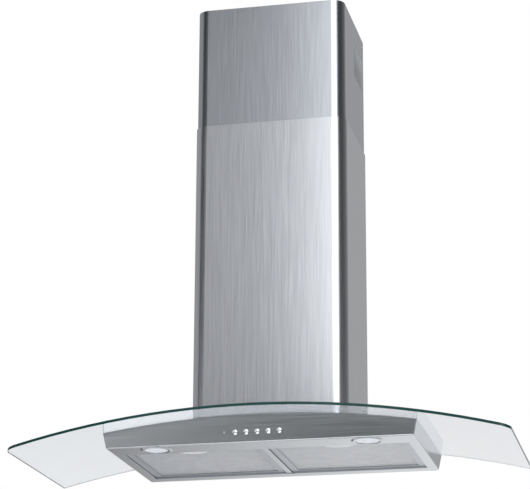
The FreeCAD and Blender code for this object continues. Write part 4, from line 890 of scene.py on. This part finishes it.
@dataclass
class FingerCup:
    """Half-moon cup for a fingertip, pressed deep at its straight edge and shallow at its arc."""

    side: Side
    wall: float = 0.5 * MM
    steep_share: float = 0.14
    slot_clearance: float = 0.6 * MM
    tab_half: float = 10.0 * MM
    tab_front: float = 9.5 * MM
    tab_gauge: float = 1.2 * MM
    tab_travel: float = 6.0 * MM
    rows: int = 57
    columns: int = 145

    def build(self) -> None:
        """Make the cup in place of its plain solid, open where the latch's tab comes through."""
        node = f"filter_handle_{self.side.value}"
        low, high = box_of(node)
        latch_rear = box_of(f"filter_latch_{self.side.value}")[1][1]
        middle = (low[0] + high[0]) / 2
        half = (high[0] - low[0]) / 2
        radius = bow_radius(half, high[1] - low[1])
        t, s = np.meshgrid(np.linspace(0, 1, self.rows), np.linspace(-1, 1, self.columns), indexing="ij")
        x = middle + half * s
        arc = high[1] - radius + np.sqrt(radius**2 - (x - middle) ** 2)
        y = low[1] + (arc - low[1]) * t
        z = low[2] + (high[2] - low[2] - self.wall) * self.depth_share(t, s)
        sheet = np.stack((x, y, z), axis=-1)
        middles = cell_middles(sheet)
        tab = latch_rear - self.tab_front
        start = tab - self.slot_clearance
        end = tab + self.tab_gauge + self.tab_travel + self.slot_clearance
        beside = np.abs(middles[..., 0] - middle) > self.tab_half + self.slot_clearance
        clear = (middles[..., 1] < start) | (middles[..., 1] > end)
        points, faces = thickened(sheet, beside | clear, self.wall)
        piece = finish_mesh(f"finger_cup_{self.side.value}", points, faces, sharp_angle=50.0)
        dress(piece, f"filter_{self.side.value}", "chrome", PRESSED_CUP, node)

    def depth_share(self, t: np.ndarray, s: np.ndarray) -> np.ndarray:
        """Share of the full depth: q (1 - t^1.5) (1 - s^4), q = min(1, t / e) (2 - min(1, t / e)).

        Args:
            t: 0 at the straight front edge and 1 at the arc.
            s: -1 at the left end and 1 at the right.

        Returns:
            The share at each point, 0 all round the edge.
        """
        start = np.minimum(1, t / self.steep_share)
        return start * (2 - start) * (1 - t**1.5) * (1 - s**4)


@dataclass
class Lamp:
    """One round lamp: turned bezel, ribbed lens and its capsule."""

    side: Side
    segments: int = 96
    lens_ribs: int = 7
    rib_depth: float = 0.35 * MM
    rib_steps: int = 8
    lens_rebate: float = 3.4 * MM
    lip_reach: float = 3.2 * MM
    lip_width: float = 2.2 * MM
    lip_rise: float = 0.7 * MM
    rim_slope: float = 2.5 * MM
    sleeve_gap: float = 0.3 * MM
    sleeve_wall: float = 1.2 * MM
    edge_blend: float = 0.15 * MM
    capsule_segments: int = 40
    end_steps: int = 12

    def build(self) -> None:
        """Make the bezel, the lens and the capsule."""
        self.bezel()
        self.lens()
        self.capsule()

    def place(self, shell: Shell, kind: str, name: str, slot: str, finish: Finish) -> None:
        """Put a turned piece on the axis of the solid that it stands for.

        Args:
            shell: points about their own axis, and faces.
            kind: what the solid is called, without its side.
            name: what the new piece is called, without its side.
            slot: the record's material slot.
            finish: its finish.
        """
        node = f"{kind}_{self.side.value}"
        low, high = box_of(node)
        points, faces = shell
        middle = np.array(((low[0] + high[0]) / 2, (low[1] + high[1]) / 2, 0))
        piece = finish_mesh(f"{name}_{self.side.value}", points + middle, faces)
        dress(piece, "canopy", slot, finish, node)

    def bezel(self) -> None:
        """Rim that carries the lens on a lip, which is set back from its face."""
        low, high = box_of(f"lamp_bezel_{self.side.value}")
        lens_low, lens_high = box_of(f"lamp_lens_{self.side.value}")
        outer = (high[0] - low[0]) / 2
        seat = (lens_high[0] - lens_low[0]) / 2
        inner = seat - self.lip_reach
        lip = inner + self.lip_width
        sleeve = seat + self.sleeve_gap
        corners = [
            (inner, lens_low[2]),
            (inner, low[2] + self.lip_rise),
            (lip, low[2] + self.lip_rise),
            (lip, low[2]),
            (outer - self.rim_slope, low[2]),
            (outer, 0.0),
            (sleeve + self.sleeve_wall, 0.0),
            (sleeve + self.sleeve_wall, high[2]),
            (sleeve, high[2]),
            (sleeve, lens_low[2]),
        ]
        loop = rounded(corners + corners[:2], self.edge_blend)[1:-1]
        ring = turned(loop, self.segments, closed=True)
        self.place(ring, "lamp_bezel", "lamp_rim", "chrome", TURNED_BEZEL)

    def lens(self) -> None:
        """Lens with ring-shaped ribs below: z falls by the rib depth times |sin(pi n r / R)|."""
        low, high = box_of(f"lamp_lens_{self.side.value}")
        outer = (high[0] - low[0]) / 2
        inner = outer - self.lens_rebate
        face = low[2] + self.rib_depth
        radius = np.linspace(0, inner, self.lens_ribs * self.rib_steps + 1)
        ribs = self.rib_depth * np.abs(np.sin(np.pi * self.lens_ribs * radius / inner))
        below = np.stack((radius, face - ribs), axis=-1)
        above = np.array([(outer, face), (outer, high[2]), (0.0, high[2])])
        disc = turned(np.concatenate((below, above)), self.segments)
        self.place(disc, "lamp_lens", "lamp_lens_ribbed", "lamp_glass", LAMP_GLASS)

    def capsule(self) -> None:
        """Capsule lamp: a tube with a round end, hanging from the can."""
        low, high = box_of(f"lamp_bulb_{self.side.value}")
        radius = (high[0] - low[0]) / 2
        turn = np.linspace(-np.pi / 2, 0, self.end_steps + 1)
        dome = np.stack((radius * np.cos(turn), low[2] + radius + radius * np.sin(turn)), axis=-1)
        top = np.array([(radius, high[2]), (0.0, high[2])])
        bulb = turned(np.concatenate((dome, top)), self.capsule_segments)
        self.place(bulb, "lamp_bulb", "lamp_capsule", "lamp_glass", LAMP_GLASS)


@dataclass
class ControlPanel:
    """Five push buttons and the running light in the leaning front panel.

    The panel's foot is how far its outer face stands from the wall at the canopy's lower edge.
    """

    foot: float = 300.0 * MM
    lean_degrees: float = 7.0
    level: float = 18.5 * MM
    cap_radius: float = 4.7 * MM
    cap_proud: float = 4.5 * MM
    cap_depth: float = 1.5 * MM
    dome_rise: float = 1.3 * MM
    dome_share: float = 0.88
    dome_steps: int = 12
    rim_steps: int = 8
    collar_radius: float = 6.0 * MM
    collar_thick: float = 1.0 * MM
    stem_radius: float = 2.5 * MM
    stem_length: float = 14.0 * MM
    segments: int = 64
    lens_rim: float = 0.7 * MM
    lens_rise: float = 0.8 * MM
    lens_depth: float = 4.0 * MM
    lens_steps: int = 8
    lens_segments: int = 40
    buttons: tuple[str, ...] = (
        "button_light", "button_off", "button_speed_1", "button_speed_2", "button_speed_3",
    )

    def build(self) -> None:
        """Make every button and the running light's lens."""
        for name in self.buttons:
            self.place(self.button(), f"{name}_cap", name, name, "chrome", CHROME)
        lens = self.indicator()
        self.place(lens, "indicator_dome", "indicator_lens", "canopy", "lamp_glass", INDICATOR_LENS)

    def place(self, shell: Shell, name: str, node: str, body: str, slot: str, finish: Finish) -> None:
        """Stand a turned piece out of the panel where a solid is.

        Args:
            shell: points about their own Z axis, and faces.
            name: name of the new piece.
            node: solid that it stands for.
            body: the body that it moves with.
            slot: the record's material slot.
            finish: its finish.
        """
        low, high = box_of(node)
        points, faces = shell
        turn = Matrix.Rotation(math.radians(90 + self.lean_degrees), 3, "X")
        depth = self.foot + self.level * math.tan(math.radians(self.lean_degrees))
        place = np.array(((low[0] + high[0]) / 2, -depth, self.level))
        piece = finish_mesh(name, points @ np.array(turn).T + place, faces)
        dress(piece, body, slot, finish, node)

    def button(self) -> Shell:
        """Chromed cap on its collar and stem, domed as z = p - d (r / R)^2 inside a round rim.

        Returns:
            Points and faces about the Z axis, with the panel's face at 0.
        """
        rim_radius = self.cap_radius * (1 - self.dome_share)
        radius = np.linspace(0, self.cap_radius - rim_radius, self.dome_steps + 1)
        dome = np.stack((radius, self.cap_proud - self.dome_rise * (radius / radius[-1]) ** 2), axis=-1)
        turn = np.linspace(np.pi / 2, 0, self.rim_steps + 1)
        centre = np.array((self.cap_radius - rim_radius, self.cap_proud - self.dome_rise - rim_radius))
        rim = centre + rim_radius * np.stack((np.cos(turn), np.sin(turn)), axis=-1)
        collar_foot = -self.cap_depth - self.collar_thick
        below = np.array(
            [
                (self.cap_radius, -self.cap_depth),
                (self.collar_radius, -self.cap_depth),
                (self.collar_radius, collar_foot),
                (self.stem_radius, collar_foot),
                (self.stem_radius, -self.stem_length),
                (0.0, -self.stem_length),
            ]
        )
        return turned(np.concatenate((dome, rim, below)), self.segments)

    def indicator(self) -> Shell:
        """Small clear lens with a low dome: z = e + d sqrt(1 - (r / R)^2).

        Returns:
            Points and faces about the Z axis, with the panel's face at 0.
        """
        low, high = box_of("indicator_lens")
        radius = (high[0] - low[0]) / 2
        arc = np.linspace(0, radius, self.lens_steps + 1)
        rise = self.lens_rim + self.lens_rise * np.sqrt(1 - (arc / radius) ** 2)
        below = np.array([(radius, -self.lens_depth), (0.0, -self.lens_depth)])
        return turned(np.concatenate((np.stack((arc, rise), axis=-1), below)), self.lens_segments)


@dataclass
class Solids:
    """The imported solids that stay, each with its finish."""

    nodes: dict[str, bpy.types.Object]

    def build(self) -> None:
        """Assign the finish of each node to its material slots."""
        sides = {f"{name}_{side.value}": SIDE_FINISH[name] for name in SIDE_FINISH for side in Side}
        for name, finish in (NODE_FINISH | sides).items():
            for slot in self.nodes[name].material_slots:
                slot.material = finish.build()
            LOG.info("%s is %s", name, finish.name)


# ---------------------------------------------------------------- studio


@dataclass(frozen=True)
class SoftBox:
    """A rectangular lamp: where it stands, what it faces, its width and height, and its watts."""

    name: str
    place: tuple[float, float, float]
    target: tuple[float, float, float]
    size: tuple[float, float]
    watts: float


@dataclass
class Studio:
    """Camera at the photograph's place, pale floor, soft lights and a banded surround.

    Turns are in radians and lengths in metres. Each band is an angle round the hood in degrees,
    from the room's middle with the right positive, and a level of light, where 1 is white. Each
    fade is where it starts and ends, as the upward or rightward part of a way of length 1.
    """

    camera_place: tuple[float, float, float] = (0.82356, -3.89079, -0.82771)
    yaw: float = 0.2223
    pitch: float = 0.3131
    roll: float = 0.0045
    focal_pixels: float = 2139.75
    frame_width: int = 530
    sensor_mm: float = 36.0
    sight: float = 50.0
    floor_level: float = -1.6
    floor_reach: float = 2.2
    ceiling: float = 0.12
    ground_front: float = 0.26
    ground_rear: float = 1.08
    ground_left: float = 0.16
    upper_fade: tuple[float, float] = (0.12, 0.2)
    ceiling_fade: tuple[float, float] = (0.55, 0.85)
    ground_fade: tuple[float, float] = (0.02, -0.16)
    left_fade: tuple[float, float] = (-0.32, -0.16)
    upper_bands: tuple[tuple[float, float], ...] = (
        (-180, 0.6), (-168, 0.40), (-154, 0.12), (-142, 0.44), (-70, 0.46), (-62, 0.03), (-29, 0.03),
        (-22, 0.10), (-16, 0.15), (2, 0.10), (10, 1.4), (42, 1.4), (50, 0.04), (84, 0.05),
        (120, 0.18), (156, 0.38), (180, 0.6),
    )
    lower_bands: tuple[tuple[float, float], ...] = (
        (-180, 0.6), (-168, 0.4), (-66, 0.4), (-46, 1.4), (-20, 1.3), (-13.5, 0.05), (8, 0.04),
        (26, 0.2), (60, 0.8), (134, 0.3), (156, 0.36), (180, 0.6),
    )
    boxes: tuple[SoftBox, ...] = (
        SoftBox("overhead", (-0.4, -1.2, 4.2), (0, -0.2, 0.3), (2.4, 1.6), 60.0),
        SoftBox("near_right", (0.5, -1.5, 1.35), (0.5, 0.0, 1.35), (1.25, 2.0), 15.0),
        SoftBox("far_front", (-0.6, -3.0, 1.45), (-0.2, -0.2, 0.5), (1.4, 1.6), 2.6),
        SoftBox("low", (0.2, -2.2, -1.4), (0, -0.15, 0.0), (2.4, 0.8), 14.0),
    )

    def build(self) -> None:
        """Make the camera, the surround, the floor and the lamps."""
        self.camera()
        self.world()
        self.floor()
        for box in self.boxes:
            self.lamp(box)
        bpy.context.scene.view_settings.view_transform = "Standard"

    def camera(self) -> None:
        """Camera whose axes come from its yaw, pitch and roll."""
        data = bpy.data.cameras.new("camera")
        data.sensor_width = self.sensor_mm
        data.sensor_fit = "HORIZONTAL"
        data.lens = self.focal_pixels / self.frame_width * self.sensor_mm
        data.clip_end = self.sight
        camera = bpy.data.objects.new("camera", data)
        bpy.context.scene.collection.objects.link(camera)
        forward = Vector(
            (
                -math.sin(self.yaw) * math.cos(self.pitch),
                math.cos(self.yaw) * math.cos(self.pitch),
                math.sin(self.pitch),
            )
        )
        level = Vector((math.cos(self.yaw), math.sin(self.yaw), 0))
        upward = level.cross(forward)
        right = level * math.cos(self.roll) + upward * math.sin(self.roll)
        up = upward * math.cos(self.roll) - level * math.sin(self.roll)
        axes = Matrix((right, up, -forward)).transposed().to_4x4()
        camera.matrix_world = Matrix.Translation(self.camera_place) @ axes
        bpy.context.scene.camera = camera

    def world(self) -> None:
        """Surround: white to the camera and through glass, and a banded studio to all else."""
        world = bpy.data.worlds.new("studio")
        bpy.context.scene.world = world
        world.use_nodes = True
        tree = world.node_tree
        tree.nodes.clear()
        studio = add(tree, "ShaderNodeBackground", {"Color": self.surround(tree)})
        white = add(tree, "ShaderNodeBackground", {"Color": (1, 1, 1, 1)})
        ray = add(tree, "ShaderNodeLightPath")
        straight = {0: ray.outputs["Is Camera Ray"], 1: ray.outputs["Is Transmission Ray"]}
        seen = add(tree, "ShaderNodeMath", straight, operation="MAXIMUM")
        shaders = {0: seen.outputs[0], 1: studio.outputs[0], 2: white.outputs[0]}
        mixed = add(tree, "ShaderNodeMixShader", shaders)
        add(tree, "ShaderNodeOutputWorld", {"Surface": mixed.outputs[0]})

    def surround(self, tree: Tree) -> Socket:
        """Banded walls, a dim ceiling that fades in above them, and ground below the horizon.

        The ground is white behind the hood, and greyer towards the room and the left.

        Args:
            tree: the world's node tree.

        Returns:
            The colour output.
        """
        way = add(tree, "ShaderNodeTexCoord").outputs["Generated"]
        parts = add(tree, "ShaderNodeSeparateXYZ", {0: way}).outputs
        front = add(tree, "ShaderNodeMath", {0: parts["Y"], 1: -1.0}, operation="MULTIPLY").outputs[0]
        angle = add(tree, "ShaderNodeMath", {0: parts["X"], 1: front}, operation="ARCTAN2").outputs[0]
        span = {"Value": angle, "From Min": -math.pi, "From Max": math.pi}
        turn = add(tree, "ShaderNodeMapRange", span).outputs["Result"]
        high, above, below = (
            add(tree, "ShaderNodeMapRange", {"Value": parts["Z"], "From Min": start, "From Max": end})
            for start, end in (self.upper_fade, self.ceiling_fade, self.ground_fade)
        )
        rearward = {"Value": parts["Y"], "To Min": self.ground_front, "To Max": self.ground_rear}
        along = add(tree, "ShaderNodeMapRange", rearward).outputs["Result"]
        start, end = self.left_fade
        leftward = {"Value": parts["X"], "From Min": start, "From Max": end, "To Min": self.ground_left}
        fall = add(tree, "ShaderNodeMapRange", leftward).outputs["Result"]
        ground = add(tree, "ShaderNodeMath", {0: along, 1: fall}, operation="MULTIPLY").outputs[0]
        colour = self.ring(tree, turn, self.lower_bands)
        layers = (
            (high, self.ring(tree, turn, self.upper_bands)),
            (below, ground),
            (above, (self.ceiling, self.ceiling, self.ceiling, 1)),
        )
        for fade, layer in layers:
            mix = {0: fade.outputs["Result"], 6: colour, 7: layer}
            colour = add(tree, "ShaderNodeMix", mix, data_type="RGBA").outputs[2]
        return colour

    def ring(self, tree: Tree, turn: Socket, bands: tuple[tuple[float, float], ...]) -> Socket:
        """One ring of bands, with light that changes evenly from each angle to the next.

        Args:
            tree: the world's node tree.
            turn: the angle from 0 to 1, half way at the room's middle.
            bands: angle in degrees and level of each stop.

        Returns:
            The colour output.
        """
        node = add(tree, "ShaderNodeValToRGB", {0: turn})
        ramp = node.color_ramp
        while len(ramp.elements) < len(bands):
            ramp.elements.new(0.5)
        for element, (degrees, level) in zip(ramp.elements, bands):
            element.position = degrees / 360 + 0.5
            element.color = (level, level, level, 1)
        return node.outputs["Color"]

    def floor(self) -> None:
        """Pale matt floor that keeps the hood's shadow, and glows a little to the eye and in metal."""
        reach = self.floor_reach
        corners = np.array([(-reach, -reach), (reach, -reach), (reach, reach), (-reach, reach)])
        points = np.column_stack((corners, np.full(4, self.floor_level)))
        floor = finish_mesh("floor", points, np.array([[0, 1, 2, 3]]), close=False)
        floor.data.materials.append(STUDIO_FLOOR.build())

    def lamp(self, box: SoftBox) -> None:
        """Hang one soft box where it stands, turned to what it faces.

        Args:
            box: the lamp's place, aim, size and power.
        """
        data = bpy.data.lights.new(box.name, "AREA")
        data.shape = "RECTANGLE"
        data.size, data.size_y = box.size
        data.energy = box.watts
        lamp = bpy.data.objects.new(box.name, data)
        bpy.context.scene.collection.objects.link(lamp)
        away = Vector(box.place) - Vector(box.target)
        facing = away.to_track_quat("Z", "Y").to_matrix().to_4x4()
        lamp.matrix_world = Matrix.Translation(box.place) @ facing


def main() -> None:
    """Load the solids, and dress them."""
    logging.basicConfig(level=logging.INFO, format="%(name)s: %(message)s")
    for thing in list(bpy.data.objects):
        bpy.data.objects.remove(thing, do_unlink=True)
    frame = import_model()
    Solids(frame["nodes"]).build()
    for side in Side:
        GreaseFilter(side).build()
        FingerCup(side).build()
        Lamp(side).build()
    ControlPanel().build()
    Studio().build()


if __name__ == "__main__":
    main()
